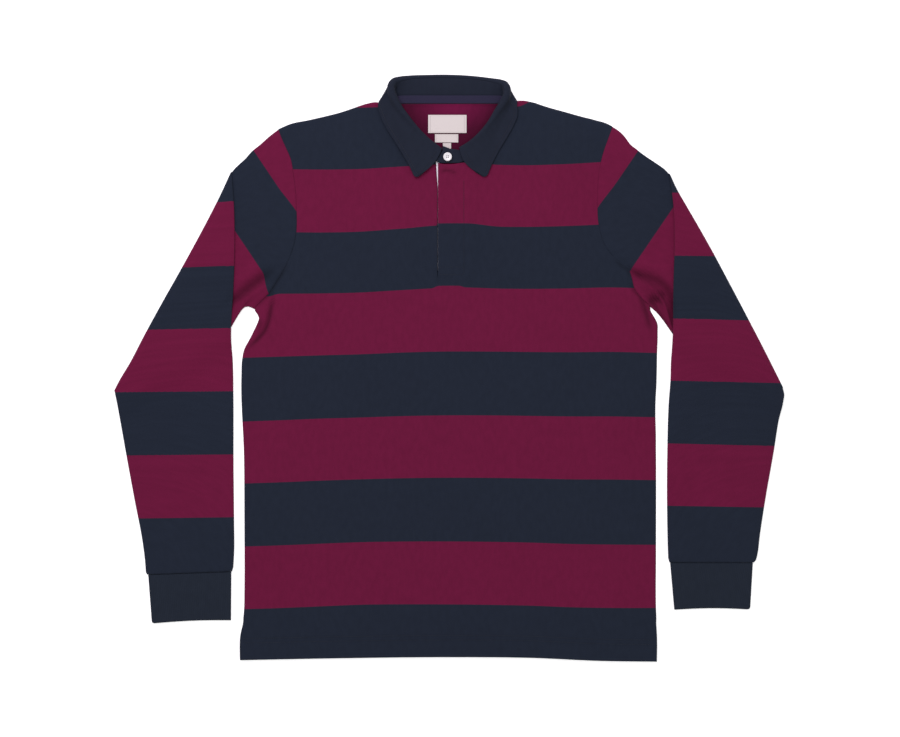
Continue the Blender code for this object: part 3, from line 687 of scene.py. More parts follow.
LIP_SHARE, COLLAR_SHARE, COLLAR_SHARE_Y = 0.35, 0.3, (262, 228)
BOX_RAISE, BOX_RAISE_X, BOX_RAISE_Y = 2.3, (-24, -18, 11, 22), (92, 104, 118, 150)
SEAM_DIP, SEAM_DIP_X, SEAM_DIP_Y = 3.4, (-241, -229), (84, 92, 112, 124)
NECK_RAISE, NECK_RAISE_X, NECK_RAISE_Y = 9, (114, 88), (345, 325)


def hoop_sag(x, y):
    """How far the hoops lie below level, so that the cloth there belongs higher up."""
    table = Curve(SAG, key=0)(x)[..., 1:]
    height = np.clip(y, SAG_HEIGHTS[0], SAG_HEIGHTS[-1])
    k = np.clip(np.searchsorted(SAG_HEIGHTS, height) - 1, 0, len(SAG_HEIGHTS) - 2)
    low, high = np.array(SAG_HEIGHTS)[k], np.array(SAG_HEIGHTS)[k + 1]
    below = np.take_along_axis(table, k[..., None], -1)[..., 0]
    above = np.take_along_axis(table, k[..., None] + 1, -1)[..., 0]
    sag = lerp(below, above, smooth((height - low) / (high - low)))
    raised = window(x, FLAP_RAISE_X) * fade(y, *FLAP_RAISE_Y)
    raised *= np.where(x < SLIT_X - 1, LIP_SHARE, 1) * (1 - COLLAR_SHARE * fade(y, *COLLAR_SHARE_Y))
    box = BOX_RAISE * window(x, BOX_RAISE_X) * window(y, BOX_RAISE_Y)
    dip = SEAM_DIP * fade(x, *SEAM_DIP_X) * window(y, SEAM_DIP_Y)
    by_neck = NECK_RAISE * fade(x, *NECK_RAISE_X) * fade(y, *NECK_RAISE_Y)
    return sag - FLAP_RAISE * raised - box + dip - by_neck + np.interp(y, *zip(*HOOP_SHIFT))


def body_weave(x, y):
    """A panel's UVs in metres: hoops change at every whole HOOP, and navy lies below 0."""
    along = (y + hoop_sag(x, y) - FIRST_HOOP_Y) * MM
    return np.stack([x * MM, along], axis=-1)


print("sag at the left seam:", hoop_sag(np.array([-279.0]), np.array([0.0])).round(1), "mm")

# %% [markdown]
# ## Creases
# Ironed cotton laid on a table still keeps soft folds, most of them where the sleeves turn over
# at the armpits. Each crease is listed: a smooth path of a few points, a width and a
# depth, fading out at both ends. On the front the troughs stay shallow and the ridges stand
# higher, because the back is close beneath.


# %% Creases as soft troughs and ridges
# The deeper troughs and the narrow creases are also painted darker: painted shade from 0 to 1, given
# to the shader as the mesh's 'fold' value.
FULL_SHADE, SHADED_DEPTH, SHARP_WIDTH = 3.8, 1, 2.1
PATH_POINTS, CREASE_TAPER = 17, 0.3


def along_path(x, y, path):
    """Distance from a path, and the share of its length at the nearest spot."""
    line = Curve(path)(np.linspace(0, 1, PATH_POINTS))
    best = np.full(np.shape(x), np.inf)
    share = np.zeros(np.shape(x))
    for k, (start, end) in enumerate(zip(line, line[1:])):
        run = end - start
        t = np.clip(((x - start[0]) * run[0] + (y - start[1]) * run[1]) / run.dot(run), 0, 1)
        far = np.hypot(x - start[0] - t * run[0], y - start[1] - t * run[1])
        share = np.where(far < best, (k + t) / (len(line) - 1), share)
        best = np.minimum(far, best)
    return best, share


def creased(x, y, creases):
    """The height that the creases add: each is (width, depth, path)."""
    height = np.zeros(np.shape(x))
    for width, depth, path in creases:
        far, share = along_path(x, y, path)
        taper = smooth(share / CREASE_TAPER) * smooth((1 - share) / CREASE_TAPER)
        height += depth * np.exp(-((far / width) ** 2)) * taper
    return height


def in_troughs(x, y, creases):
    """How much painted shade a point gets for lying in the troughs, from 0 to 1. A sharp ridge
    between them stays light.
    """
    marks = [
        (width, -depth / FULL_SHADE, path) for width, depth, path in creases
        if depth < -SHADED_DEPTH or width < SHARP_WIDTH
    ]
    return np.clip(creased(x, y, marks), 0, 1)[..., None]


print("the deepest troughs are", round(PAINTED_SHADE_STRENGTH * 100), "% darker")

# %% Creases of the front
FRONT_CREASES = [  # width, depth, path
    (3.0, -3.7, [(-234, 108), (-236.5, 94), (-238.5, 78), (-241, 64), (-246, 51), (-254, 41),
                 (-264, 31), (-274, 20)]),
    (4.5, 1.9, [(-246, 88), (-248, 71), (-250.5, 58), (-257, 47), (-266, 36)]),
    (7.0, 1.6, [(-226, 95), (-229, 71), (-235, 51), (-246, 35)]),
    (2.6, -1.8, [(-251, 68), (-252.5, 58), (-254, 46)]),
    (2.6, -2.6, [(-212, 142), (-222, 128), (-232, 113), (-240, 100), (-249, 91), (-262, 76)]),
    (3.6, -3.2, [(234, 118), (243, 107), (252, 98), (256.5, 88), (260.5, 75), (266, 56), (270, 42)]),
    (3.2, 1.8, [(258, 98), (263, 85), (267, 72), (270, 57)]),
    (6.5, 1.7, [(233, 108), (244, 90), (252, 71), (256, 50)]),
    (3.0, -0.9, [(248, 84), (254, 70), (258, 54)]),
    (2.6, -1.7, [(216, 148), (226, 138), (238, 128), (243, 114)]),
    (16.0, 0.9, [(-190, 150), (-150, 60), (-150, -60), (-170, -160)]),
    (18.0, 0.8, [(180, 140), (150, 40), (160, -80), (175, -190)]),
    (14.0, 0.7, [(-90, -40), (-70, -150), (-85, -270)]),
    (15.0, 0.7, [(80, 60), (95, -60), (80, -200)]),
    (2.2, -2.6, [(-13.5, 257), (-8, 263), (0, 262.6), (7, 260), (12, 256.5)]),
    (5.0, 0.8, [(-12, 253), (2, 251), (14, 248)]),
    (12.0, 0.8, [(-150, 300), (-140, 230), (-152, 180)]),
    (12.0, 0.8, [(140, 300), (134, 235), (148, 170)]),
]
LOFT, LOFT_EDGE, LOFT_NECK_X, LOFT_NECK_Y = 1.1, (45, 4), (90, 150), (255, 215)


def from_side(share):
    """The distance to the nearer side edge, for a share of the body's width."""
    return (1 - abs(share)) * HALF_WIDTH


def loft(x, y, share):
    """A shirt's front never lies quite flat on its back: it floats a little away from its edges."""
    off_edges = fade(from_side(share), *LOFT_EDGE) * fade(y - HEM_Y, *LOFT_EDGE)
    off_collar = 1 - fade(abs(x), *LOFT_NECK_X) * fade(y, *LOFT_NECK_Y)
    return LOFT * off_edges * off_collar


print(len(FRONT_CREASES), "creases on the front")

# %% [markdown]
# ## Front and back panels
# The back lies flat on the table. The front lies over it, eased up around the collar, and its
# side edges curl down round the back's, as the two layers do at a pressed side seam. Near the
# hem both edges are free, because the side seams end in short vents. At an armhole the edge only
# dips, and the sleeve's edge dips towards it, so the seam shows as a ditch.

# %% Heights of the panels
LEAF_EASE, CURL_EASE = 0.5, 0.1
LEAF_LIFT = COLLAR_CLOTH + SEAM_GAP + LEAF_EASE
LEAF_LIFT_X, LEAF_LIFT_Y = (100, 165), (337, 272)
NECK_EASE, NECK_EASE_X, NECK_EASE_Y = 0.7, (120, 200), (300, 220)
FLAP_LIFT, FLAP_RIGHT, FLAP_BOTTOM = 2.3, (25, 42), (128, 96)
LIP_GAP, LIP_OPENING, LIP_Y = 0.68, 3.2, (240, 270)
LIP_RISE, LIP_RISE_X, LIP_RISE_Y = 1.35, 15, (232, 244)
CURL_TURNS = np.radians([0, 24, 46, 66, 80, 90])
CURL_WIDTH = 2.85
CURL_DROP = FRONT_MIDDLE - BACK_MIDDLE + CURL_EASE
VENT_TOP, BELOW_ARM = (-322, -336), (UNDERARM_Y - 6, UNDERARM_Y + 4)
DITCH_DEPTHS, DITCH_Y, DITCH_WIDTH = (0.15, 1.3), (108, 150), 3.2
HEM_DEPTH, HEM_STEP, HEM_RISE = 25, 2, 0.3


def leaf_lift(x, y):
    """How far the collar leaf under the neck lifts the panels."""
    return LEAF_LIFT * fade(abs(x), *LEAF_LIFT_X) * fade(y, *LEAF_LIFT_Y)


def back_middle(x, y):
    return BACK_MIDDLE + leaf_lift(x, y)


def front_middle(x, y):
    ease = NECK_EASE * fade(abs(x), *NECK_EASE_X) * fade(y, *NECK_EASE_Y)
    return FRONT_MIDDLE + leaf_lift(x, y) + ease


def flap_lift(x, y):
    return FLAP_LIFT * fade(x, *FLAP_RIGHT) * fade(y, *FLAP_BOTTOM)


def lip_shift(y):
    """How far the left lip of the slit stands back from the flap's edge."""
    return np.interp(y, LIP_Y, (LIP_GAP, LIP_OPENING))


def lip_rise(x, y):
    """How far the left lip rises to meet the flap's edge, below the part that gapes."""
    return LIP_RISE * fade(SLIT_X - x, 0, LIP_RISE_X) * fade(y, *LIP_RISE_Y) * fade(y, *FLAP_BOTTOM)


def ditch_depth(y):
    """How deep the armhole's seam lies: more towards the underarm."""
    return lerp(*DITCH_DEPTHS, fade(y, *DITCH_Y))


def curl_shares(count, width):
    """Shares from the middle out to an edge, close together where the cloth curls."""
    inner = np.linspace(0, 1 - width, count + 1)
    return np.concatenate([inner, 1 - width * (1 - np.sin(CURL_TURNS[1:]))])


def panel_grid(columns, rows):
    """Shares from -1 to 1 across and from 0 to 1 up, for every point of a panel."""
    half = curl_shares(columns, CURL_WIDTH / HALF_WIDTH)
    across = np.concatenate([-half[:0:-1], half])
    return np.meshgrid(across, curl_shares(rows, CURL_WIDTH / BODY_HEIGHT))


def curled(from_edge):
    """How far cloth that rolls down over an edge has dropped, for its distance from there."""
    out = np.clip(1 - from_edge / CURL_WIDTH, 0, 1)
    return CURL_DROP * (1 - np.sqrt(1 - out**2))


print("the front curls down", round(CURL_DROP, 1), "mm at its sides")

# %% Front
FRONT_HALF_COLUMNS, FRONT_ROWS = 78, 214
SLIT_END_Y, ON_SLIT = 120.0, 0.02
RELIEF_SIDE, RELIEF_TOP, RELIEF_FLOOR = (9, 1), (300, 345), -0.45
STITCH_GROOVE, GROOVE_WIDTH = 0.35, 1.6
PLACKET_STITCH_X = 18.4
BOX_STITCH_Y = (134.8, 124.6)


def seam_drop(share, up, y):
    """How far the front's edges fall, at the side seams, armholes and shoulders."""
    curl = curled(from_side(share)) * fade(y, *VENT_TOP)
    near_armhole = np.clip(1 - (1 - abs(share)) * HALF_SHOULDERS / DITCH_WIDTH, 0, 1)
    side = lerp(ditch_depth(y) * near_armhole**2, curl, fade(y, *BELOW_ARM))
    return side, curled((1 - up) * BODY_HEIGHT)


def front_height(x, y, share):
    """The middle of the front's cloth, before its edges fall."""
    relief = creased(x, y, FRONT_CREASES) + loft(x, y, share)
    relief = relief * fade(from_side(share), *RELIEF_SIDE) * fade(y, *RELIEF_TOP)
    hem = HEM_RISE * fade(y - HEM_Y, HEM_DEPTH - HEM_STEP, HEM_DEPTH)
    flap = np.where(share > 0, flap_lift(x, y), np.where(share < 0, lip_rise(x, y), 0))
    return front_middle(x, y) + flap + np.maximum(relief, RELIEF_FLOOR) + hem


def build_front():
    share, up = panel_grid(FRONT_HALF_COLUMNS, FRONT_ROWS)
    x, y = panel_plan(share, up, SLIT_X, "front_y", FRONT_NECK)
    side, over = seam_drop(share, up, y)
    drop = np.where(beyond_neck(x, FRONT_NECK), np.maximum(side, over), side)
    groove = STITCH_GROOVE * np.exp(-(((x - PLACKET_STITCH_X) / GROOVE_WIDTH) ** 2))
    on_flap = (share > 0) & (y > BOX_STITCH_Y[1])
    z = front_height(x, y, share) - drop - groove * on_flap
    # Painted shade for the creases' troughs goes with the UVs.
    weave = np.concatenate([body_weave(x, y), in_troughs(x, y, FRONT_CREASES)], axis=-1)
    mesh = sheet_mesh(np.stack([x, y, z], axis=-1), weave)
    open_slit(mesh)
    return piece("front", mesh, STRIPED)


def open_slit(mesh):
    """Splits the front down its slit, lifts the flap's edge and stands the other lip back."""
    near = ON_SLIT * MM

    def on_slit(point):
        return abs(point.co.x - SLIT_X * MM) < near and point.co.y > SLIT_END_Y * MM

    slit = [edge for edge in mesh.edges if all(on_slit(point) for point in edge.verts)]
    lowest = min(point.co.y for edge in slit for point in edge.verts)
    bmesh.ops.split_edges(mesh, edges=slit)
    for point in [v for v in mesh.verts if on_slit(v) and v.co.y > lowest + near]:
        y = point.co.y / MM
        if any(face.calc_center_median().x > point.co.x for face in point.link_faces):
            point.co.z += float(flap_lift(0, y)) * MM
        else:
            point.co.x -= float(lip_shift(y)) * MM
            point.co.z += float(lip_rise(SLIT_X, y)) * MM


front = cloth_wall(build_front(), JERSEY, rounding=0.3, even=False)
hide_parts("front_panel")

# %% Back
BACK_HALF_COLUMNS, BACK_ROWS = 46, 120
BACK_INSET, ARMHOLE_TUCK, SHOULDER_TUCK_POWER = 1.9, 1.1, 12


def build_back():
    """The back, a little smaller than the front that curls down round it."""
    share, up = panel_grid(BACK_HALF_COLUMNS, BACK_ROWS)
    x, y = panel_plan(share, up, 0.0, "back_y", BACK_NECK)
    above_arm = fade(y, *BELOW_ARM[::-1])
    inset = lerp(BACK_INSET * fade(y, *VENT_TOP), ARMHOLE_TUCK, above_arm)
    inset_x = x - inset * share
    inset_y = y - BACK_INSET * beyond_neck(x, BACK_NECK) * up**SHOULDER_TUCK_POWER
    points = np.stack([inset_x, inset_y, back_middle(x, y)], axis=-1)
    return piece("back", sheet_mesh(points, body_weave(x, y)), STRIPED)


back = cloth_wall(build_back(), JERSEY, rounding=0.3, even=False)
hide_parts("back_panel")

# %% [markdown]
# ## Sleeves
# A sleeve is a tube. Laid flat it is two layers joined by tight folds, it runs out from the
# armhole, turns over along one nearly straight fold and comes down on itself. Each ring of the
# tube is worked out at its own width, the rings are laid side by side in one grid, and merging
# the doubles closes it. Creases press all the layers together, so none of them can cross.

# %% Sleeve tables
SLEEVES = {
    "left": {
        "over": [(-228.2, 318), (-239.7, 309.3), (-251.9, 298.6), (-265, 288), (-272.3, 279.8),
                 (-281, 272.2), (-287.4, 266.4), (-291.4, 261.8)],
        "under": [(-259.5, 79), (-263, 80.4), (-266.5, 82), (-271.7, 82.3), (-275.3, 79.7),
                  (-278.8, 75.3), (-285, 65.2), (-291.9, 53.8), (-386, -1), (-446.8, -30)],
        "inner": [(-291.4, 261.8), (-288.3, 224), (-286.9, 184), (-288.3, 107), (-291.2, 55),
                  (-291.2, 38), (-289.4, 11), (-288.4, -42), (-288.2, -122), (-287.4, -202),
                  (-287.2, -242), (-288.7, -270)],
        "outer": [(-446.8, -30), (-445, -38), (-439.6, -69), (-432.3, -109), (-419.8, -175.5),
                  (-409.5, -228.7), (-406, -255.4), (-404.6, -274)],
        "cuff_end": [(-291.4, -335), (-396.8, -339.2)],
        "first_hoop": 222.7, "hoop": 84.2,
        "pull": [(221, 0.0, 9.4), (302, 4.2, 2.0)],
        "skew": [(-199, -0.8, 0.9), (-115, -0.1, 1.2), (-32, 0.1, 1.3), (52, 0.3, 2.5),
                 (135, 1.9, 4.2), (223, 0.2, 1.6)],
        "bow": [(0, 0), (0.1, -2.1), (0.22, -2.9), (0.42, -2.5), (0.62, -1.0), (0.75, -0.6),
                (0.87, -1.0), (0.96, 0.4), (1, 0)],
    },
    "right": {
        "over": [(216, 321.5), (220, 319.3), (226.6, 314.4), (232, 309), (236, 303.6),
                 (240.2, 298.2), (246.8, 293), (253.4, 287.8), (276.6, 272.3), (285.4, 266.4),
                 (292.4, 259.6)],
        "under": [(265.5, 83), (275.7, 73.6), (282.3, 65.6), (289, 56.3), (296.5, 45.6),
                  (386, -1), (443.3, -26)],
        "inner": [(292.4, 259.6), (297, 224), (297, 90), (296.4, 45), (295.4, 24), (294.4, 11),
                  (293.6, -16), (291.5, -42), (289.3, -109), (288.8, -149), (289.1, -202),
                  (290, -242), (290.6, -258)],
        "outer": [(443.3, -26), (445.1, -33), (444, -43), (438.1, -69), (431.5, -109),
                  (419.6, -175.5), (411.6, -229), (410, -243), (407.5, -254), (406, -258)],
        "cuff_end": [(298.4, -321), (399.5, -320.5)],
        "first_hoop": 235.0, "hoop": 83.65,
        "pull": [(140, 13.0, 13.0), (160, 9.0, 9.0), (231, 4.2, 4.8), (313, 7.2, 5.3)],
        "skew": [(-184, -1.0, 1.2), (-101, -0.3, 3.2), (-18, -0.2, 3.2), (66, 0.7, 3.6),
                 (150, 1.2, 1.8), (235, 1.2, 1.2)],
        "bow": [(0, 0), (0.07, -1.5), (0.14, -0.8), (0.25, 0.6), (0.37, 1.6), (0.5, 1.8), (0.7, 1.7),
                (0.82, 1.4), (0.92, 0.7), (1, 0)],
    },
}
SLEEVE_CREASES = {  # width, depth, path
    "left": [
        (6.0, -3.1, [(-226, 134), (-240, 127), (-252, 119), (-264, 110), (-276, 101), (-290, 90),
                     (-308, 74)]),
        (8.0, 2.4, [(-242, 146), (-256, 133), (-273, 121), (-294, 108)]),
        (5.0, 2.0, [(-243, 108), (-256, 102), (-269, 94), (-284, 82)]),
        (2.4, -1.6, [(-212, 142), (-222, 128), (-232, 113), (-240, 100), (-249, 91), (-262, 76)]),
        (12.0, 0.7, [(-235, 300), (-240, 250), (-232, 200)]),
        (11.0, 0.8, [(-300, 180), (-330, 60), (-350, -60)]),
        (9.0, 0.7, [(-390, -20), (-370, -120), (-360, -220)]),
        (12.0, -0.7, [(-320, -40), (-325, -130), (-330, -200)]),
    ],
    "right": [
        (5.0, 1.5, [(214, 160), (229, 150), (244, 142)]),
        (7.0, 2.0, [(246, 138), (266, 133), (282, 128), (297, 115)]),
        (3.6, -1.9, [(234, 136), (242, 130.5), (250, 126), (260, 121)]),
        (9.0, -1.2, [(238, 126), (260, 113), (279, 98), (291, 76), (296, 54)]),
        (1.9, 2.2, [(245, 118), (255, 113), (266, 106), (277, 97), (285, 85), (290, 70), (294, 56)]),
        (3.0, -2.4, [(258, 90), (266, 92), (275, 92), (283, 88), (290, 82)]),
        (2.0, -2.0, [(286, 86), (291, 74), (295, 62), (298, 50)]),
        (5.4, -2.8, [(228, 134), (242, 128), (256, 124), (270, 120), (283, 113), (293, 102),
                     (297, 86), (298, 66), (298, 40)]),
        (3.4, 3.0, [(244, 118), (258, 112), (270, 104), (278, 95), (285, 82), (290, 66), (295, 52)]),
        (4.2, -2.8, [(290, 104), (281, 97), (272, 91), (262, 82)]),
        (2.2, -2.0, [(262, 92), (272, 84), (280, 72), (287, 60), (297, 44)]),
        (5.0, -0.8, [(210, 298), (212, 270), (209, 242)]),
        (9.0, 0.7, [(222, 300), (224, 268), (220, 236)]),
        (11.0, 0.8, [(305, 170), (335, 60), (352, -50)]),
        (9.0, 0.7, [(392, -10), (374, -110), (362, -210)]),
        (12.0, -0.7, [(318, -60), (322, -140), (330, -210)]),
    ],
}
TURN_HEIGHT = TUBE_HEIGHT + LAYER_GAP / 2
DROP = 2 * TURN_HEIGHT - TUBE_HEIGHT
DROP_FROM, DROP_OVER = 8, 36
ARMHOLE_GAP = 0.2
CORNER_REACH, CORNER_SHARE = 0.3, 0.07
PULL_SEAM, PULL_END, SKEW_FROM, LEAST_SKEWED = (0.0, 0.1), (0.8, 1.0), 288.0, 5
TUBE_EDGE_TURNS = np.radians(np.linspace(-90, 90, 9))
TUBE_FLAT_STEPS = 42
UPPER_STEPS = np.concatenate([[0, 0.007, 0.015, 0.024], np.linspace(0.04, 1, 44)])
TURN_STEPS = np.radians(np.linspace(0, 180, 13)[1:-1])
LOWER_STEPS = np.concatenate([np.linspace(0, 0.982, 126), [0.988, 0.994, 1]])
ARMHOLE_HOLD = 5
print(len(UPPER_STEPS) + len(TURN_STEPS) + len(LOWER_STEPS), "rings to a sleeve")


# %% Sleeve maths
def between_edges(start, end, side_a, side_b, u, v, hold=1):
    """A smooth surface between four edges: u runs from side_a to side_b, v from start to end. With
    a higher hold, the bends of the start fade sooner."""
    def at(line, t):
        return np.asarray(line(np.asarray(t, float)))

    share = 1 - (1 - v[..., None]) ** hold
    across = lerp(at(start, u), at(end, u), share)
    along = lerp(at(side_a, v), at(side_b, v), u[..., None])
    corner = [at(line, t) for line in (start, end) for t in (0.0, 1.0)]
    low = lerp(corner[0], corner[1], u[..., None])
    high = lerp(corner[2], corner[3], u[..., None])
    return across + along - lerp(low, high, share)


def tube_section(width):
    """Round a flattened tube: share of the width and height, outside and inside the wall."""
    radius, hollow = TUBE_HEIGHT / 2, LAYER_GAP / 2
    cos, sin = np.cos(TUBE_EDGE_TURNS), np.sin(TUBE_EDGE_TURNS)
    flat = np.linspace(0, 1, TUBE_FLAT_STEPS + 1)[1:-1]
    edge_out, edge_in = radius * (1 - cos) / width, (radius - hollow * cos) / width
    across = lerp(edge_out[-1], 1 - edge_out[-1], flat)
    share_out, share_in = (
        np.concatenate([edge, across, 1 - edge[::-1], across[::-1]]) for edge in (edge_out, edge_in)
    )
    rise = np.concatenate([sin, np.ones_like(flat), sin[::-1], -np.ones_like(flat)])
    return (share_out, radius + radius * rise), (share_in, radius + hollow * rise)


def armhole_line(side, u):
    """The armhole seam, from the shoulder at 0 to the underarm at 1."""
    heights = edge_heights(side)[BODY_ROWS[:, 0] >= UNDERARM_Y]
    y = np.interp((1 - u) * (len(heights) - 1), range(len(heights)), heights)
    return np.stack([side_x(side, y), y], axis=-1)


class Sleeve:
    """The plan of one sleeve: where any share across and any step along it lies."""

    def __init__(self, side):
        self.side = side
        self.table = SLEEVES[side]
        self.lines = {name: Curve(self.table[name]) for name in ("over", "under", "inner", "outer")}
        self.start, self.end = self.lines["over"](1.0), self.lines["under"](1.0)
        run = unit(self.end - self.start)
        self.outward = np.array([run[1], -run[0]]) * np.sign(run[1] * self.start[0])
        self.gap = np.array([math.copysign(ARMHOLE_GAP, self.start[0]), 0])

    def fold_reach(self, u):
        """How far the fold's half round reaches: little at its two corners, and all between."""
        u = np.asarray(u, float)
        return TURN_HEIGHT * lerp(CORNER_REACH, 1, smooth(np.minimum(u, 1 - u) / CORNER_SHARE))

    def fold(self, u):
        u = np.asarray(u, float)
        out = Curve(self.table["bow"], key=0)(u)[..., 1] - self.fold_reach(u)
        return lerp(self.start, self.end, u[..., None]) + out[..., None] * self.outward

    def eased(self, name, from_start, shift=0.0):
        """An edge with one end moved onto the fold's axis."""
        onto_axis = TURN_HEIGHT * CORNER_REACH * self.outward

        def line(t):
            t = np.asarray(t, float)
            moved = (1 - t if from_start else t)[..., None] ** 2
            return self.lines[name](t) + shift - onto_axis * moved
        return line

    def upper(self, u, v):
        return between_edges(
            lambda t: armhole_line(self.side, t) + self.gap, self.fold,
            self.eased("over", False, self.gap), self.eased("under", False, self.gap), u, v,
            hold=ARMHOLE_HOLD,
        )

    def lower(self, u, v):
        seam = [self.lines[name](1.0) for name in ("inner", "outer")]
        return between_edges(
            self.fold, lambda t: lerp(seam[0], seam[1], t[..., None]),
            self.eased("inner", True), self.eased("outer", True), u, v,
        )

    def drop(self, spot):
        """How far the lower sleeve has come down past the edge of the upper one."""
        start = np.array(self.table["under"][0])
        run = unit(self.end - start)
        across = np.array([-run[1], run[0]]) * -np.sign(run[0])
        beyond = (spot - start) @ across
        return DROP * smooth((beyond - DROP_FROM) / DROP_OVER)

    def reflected_y(self, spot):
        """The height at which a point of the upper sleeve would lie if it were not folded."""
        away = (spot - self.start) @ self.outward
        return (spot - 2 * away[..., None] * self.outward)[..., 1]

    def pull(self, y, step):
        """How far the upper sleeve's hoops are pulled down: in the sleeve and at its armhole."""
        at, *pulls = zip(*self.table["pull"])
        within, near_seam = (np.interp(y, at, pull) for pull in pulls)
        return lerp(within, near_seam, fade(step, *PULL_SEAM)) * fade(step, *PULL_END)

    def skew(self, spot):
        """How far the hoops near the fold and below it are pulled down, at both edges."""
        x, y = abs(spot[..., 0]), spot[..., 1]
        edge = [self.table["outer"][-1], self.end, self.start]
        outer = np.interp(y, [point[1] for point in edge], [abs(point[0]) for point in edge])
        share = np.clip((x - SKEW_FROM) / np.maximum(outer - SKEW_FROM, LEAST_SKEWED), 0, 1)
        at, *skews = zip(*self.table["skew"])
        return lerp(*(np.interp(y, at, skew) for skew in skews), share)

    def hoops(self, y):
        """The cloth's own length for a height of the lower sleeve."""
        return (y - self.table["first_hoop"]) / self.table["hoop"] * HOOP


print("left sleeve folds from", Sleeve("left").start, "to", Sleeve("left").end)


# %% Build a sleeve
CUFF_DIP, CUFF_DIP_FROM, END_INSET, END_FROM = 0.25, 0.985, 1.4, 0.988
CORNER_PRESS, CORNER_PRESS_REACH = 0.42, 13
SLEEVE_LOFT, RELIEF_EDGE, UPPER_RELIEF_FROM, LOWER_RELIEF_FROM = 0.9, 0.05, 0.06, 0.03
SEAM_SHARE = 0.024


def sleeve_relief(sleeve, spot, u):
    """What creases and a little loft add between the tube's two side folds."""
    edge = fade(np.minimum(u, 1 - u), RELIEF_EDGE, 0.0)
    creases = creased(spot[..., 0], spot[..., 1], SLEEVE_CREASES[sleeve.side])
    return (creases + SLEEVE_LOFT * edge) * edge


def upper_ring(sleeve, step, u, z):
    """Spots, their heights, and how high their cloth would lie unfolded, on the way out."""
    spot = sleeve.upper(u, np.full_like(u, step))
    level = z / TUBE_HEIGHT
    lift = sleeve_relief(sleeve, spot, u) * fade(step, UPPER_RELIEF_FROM, 0.0)
    near_seam = max(1 - step / SEAM_SHARE, 0) ** 2
    spot[..., 0] -= math.copysign(ARMHOLE_TUCK, sleeve.start[0]) * near_seam * (level < 0.5)
    ditch = ditch_depth(spot[..., 1]) * near_seam * (level > 0.5)
    flat_y = sleeve.reflected_y(spot)
    along = flat_y + sleeve.pull(flat_y, step) + sleeve.skew(spot) * fade(step, *PULL_END[::-1])
    return spot, level * (TUBE_HEIGHT + lift - ditch), along


def turned_ring(sleeve, step, u, z):
    """The same in the fold, where the tube rolls over on itself."""
    reach = (TURN_HEIGHT - z) / TURN_HEIGHT * sleeve.fold_reach(u) * math.sin(step)
    spot = sleeve.fold(u) + reach[..., None] * sleeve.outward
    return spot, TURN_HEIGHT - (TURN_HEIGHT - z) * math.cos(step), spot[..., 1] + sleeve.skew(spot)


def lower_ring(sleeve, step, u, z, width):
    """The same on the way down to the cuff, upside down and on top of the upper layers."""
    inset = END_INSET * fade(step, 1.0, END_FROM) / width
    spot = sleeve.lower(lerp(inset, 1 - inset, u), np.full_like(u, step))
    level = z / TUBE_HEIGHT
    lift = sleeve_relief(sleeve, spot, u) * fade(step, LOWER_RELIEF_FROM, 0.0)
    dip = CUFF_DIP * fade(step, 1.0, CUFF_DIP_FROM) * (level < 0.5)
    rise = DROP - sleeve.drop(spot) + (1 - level) * (TUBE_HEIGHT + lift - dip)
    return spot, rise, spot[..., 1] + sleeve.skew(spot)


def sleeve_ring(sleeve, stage, step, inside):
    """One ring of the tube: its points in mm and its UVs."""
    ends = np.array([0.0, 1.0])
    if stage == "turn":
        start, end = sleeve.fold(ends)
    else:
        layer = sleeve.upper if stage == "upper" else sleeve.lower
        start, end = layer(ends, np.full(2, step))
    width = float(np.linalg.norm(end - start))
    u, z = tube_section(width)[int(inside)]
    if stage == "upper":
        spot, z, along = upper_ring(sleeve, step, u, z)
    elif stage == "turn":
        spot, z, along = turned_ring(sleeve, step, u, z)
    else:
        spot, z, along = lower_ring(sleeve, step, u, z, width)
    from_corner = np.linalg.norm(spot - sleeve.start, axis=-1)
    z = z * (1 - CORNER_PRESS * np.exp(-((from_corner / CORNER_PRESS_REACH) ** 2)))
    around = np.arange(len(u)) / len(u) * 2 * width
    # Painted shade for the creases' troughs, on the upper layer only.
    shade = in_troughs(spot[..., 0], spot[..., 1], SLEEVE_CREASES[sleeve.side])[..., 0]
    weave = np.column_stack([around * MM, sleeve.hoops(along), shade * (stage == "upper")])
    return np.column_stack([spot, z]), weave


def ring_wall(rings_out, rings_in):
    """A tube with a wall, from rings of (points, UVs): one closed grid, merged where it meets."""
    rings = rings_out + rings_in[::-1]
    rings.append(rings[0])
    points, weave = (
        np.array([np.vstack([part, part[:1]]) for part in parts]) for parts in zip(*rings)
    )
    weave[:, -1, 0] = weave[:, -2, 0] * 2 - weave[:, -3, 0]
    mesh = sheet_mesh(points, weave)
    bmesh.ops.remove_doubles(mesh, verts=mesh.verts, dist=MERGED * MM)
    bmesh.ops.recalc_face_normals(mesh, faces=mesh.faces)
    return mesh


def build_sleeve(side):
    sleeve = Sleeve(side)
    stages = [("upper", UPPER_STEPS), ("turn", TURN_STEPS), ("lower", LOWER_STEPS)]
    rings = [
        [sleeve_ring(sleeve, stage, step, inside) for stage, steps in stages for step in steps]
        for inside in (False, True)
    ]
    return piece(f"{side}_sleeve", ring_wall(*rings), STRIPED)


sleeves = {side: build_sleeve(side) for side in SLEEVES}
for side, made in sleeves.items():
    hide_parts(f"sleeve_{side}")
    print(made.name, len(made.data.polygons), "faces,", round(flat_area(made) / 2, 3), "m2")

# %% [markdown]
# ## Cuffs
# Each cuff is a narrow tube of rib, sewn on a little tighter than the sleeve, so that the sleeve
# steps in to meet it. Its free end is the rounded turn of the knit.

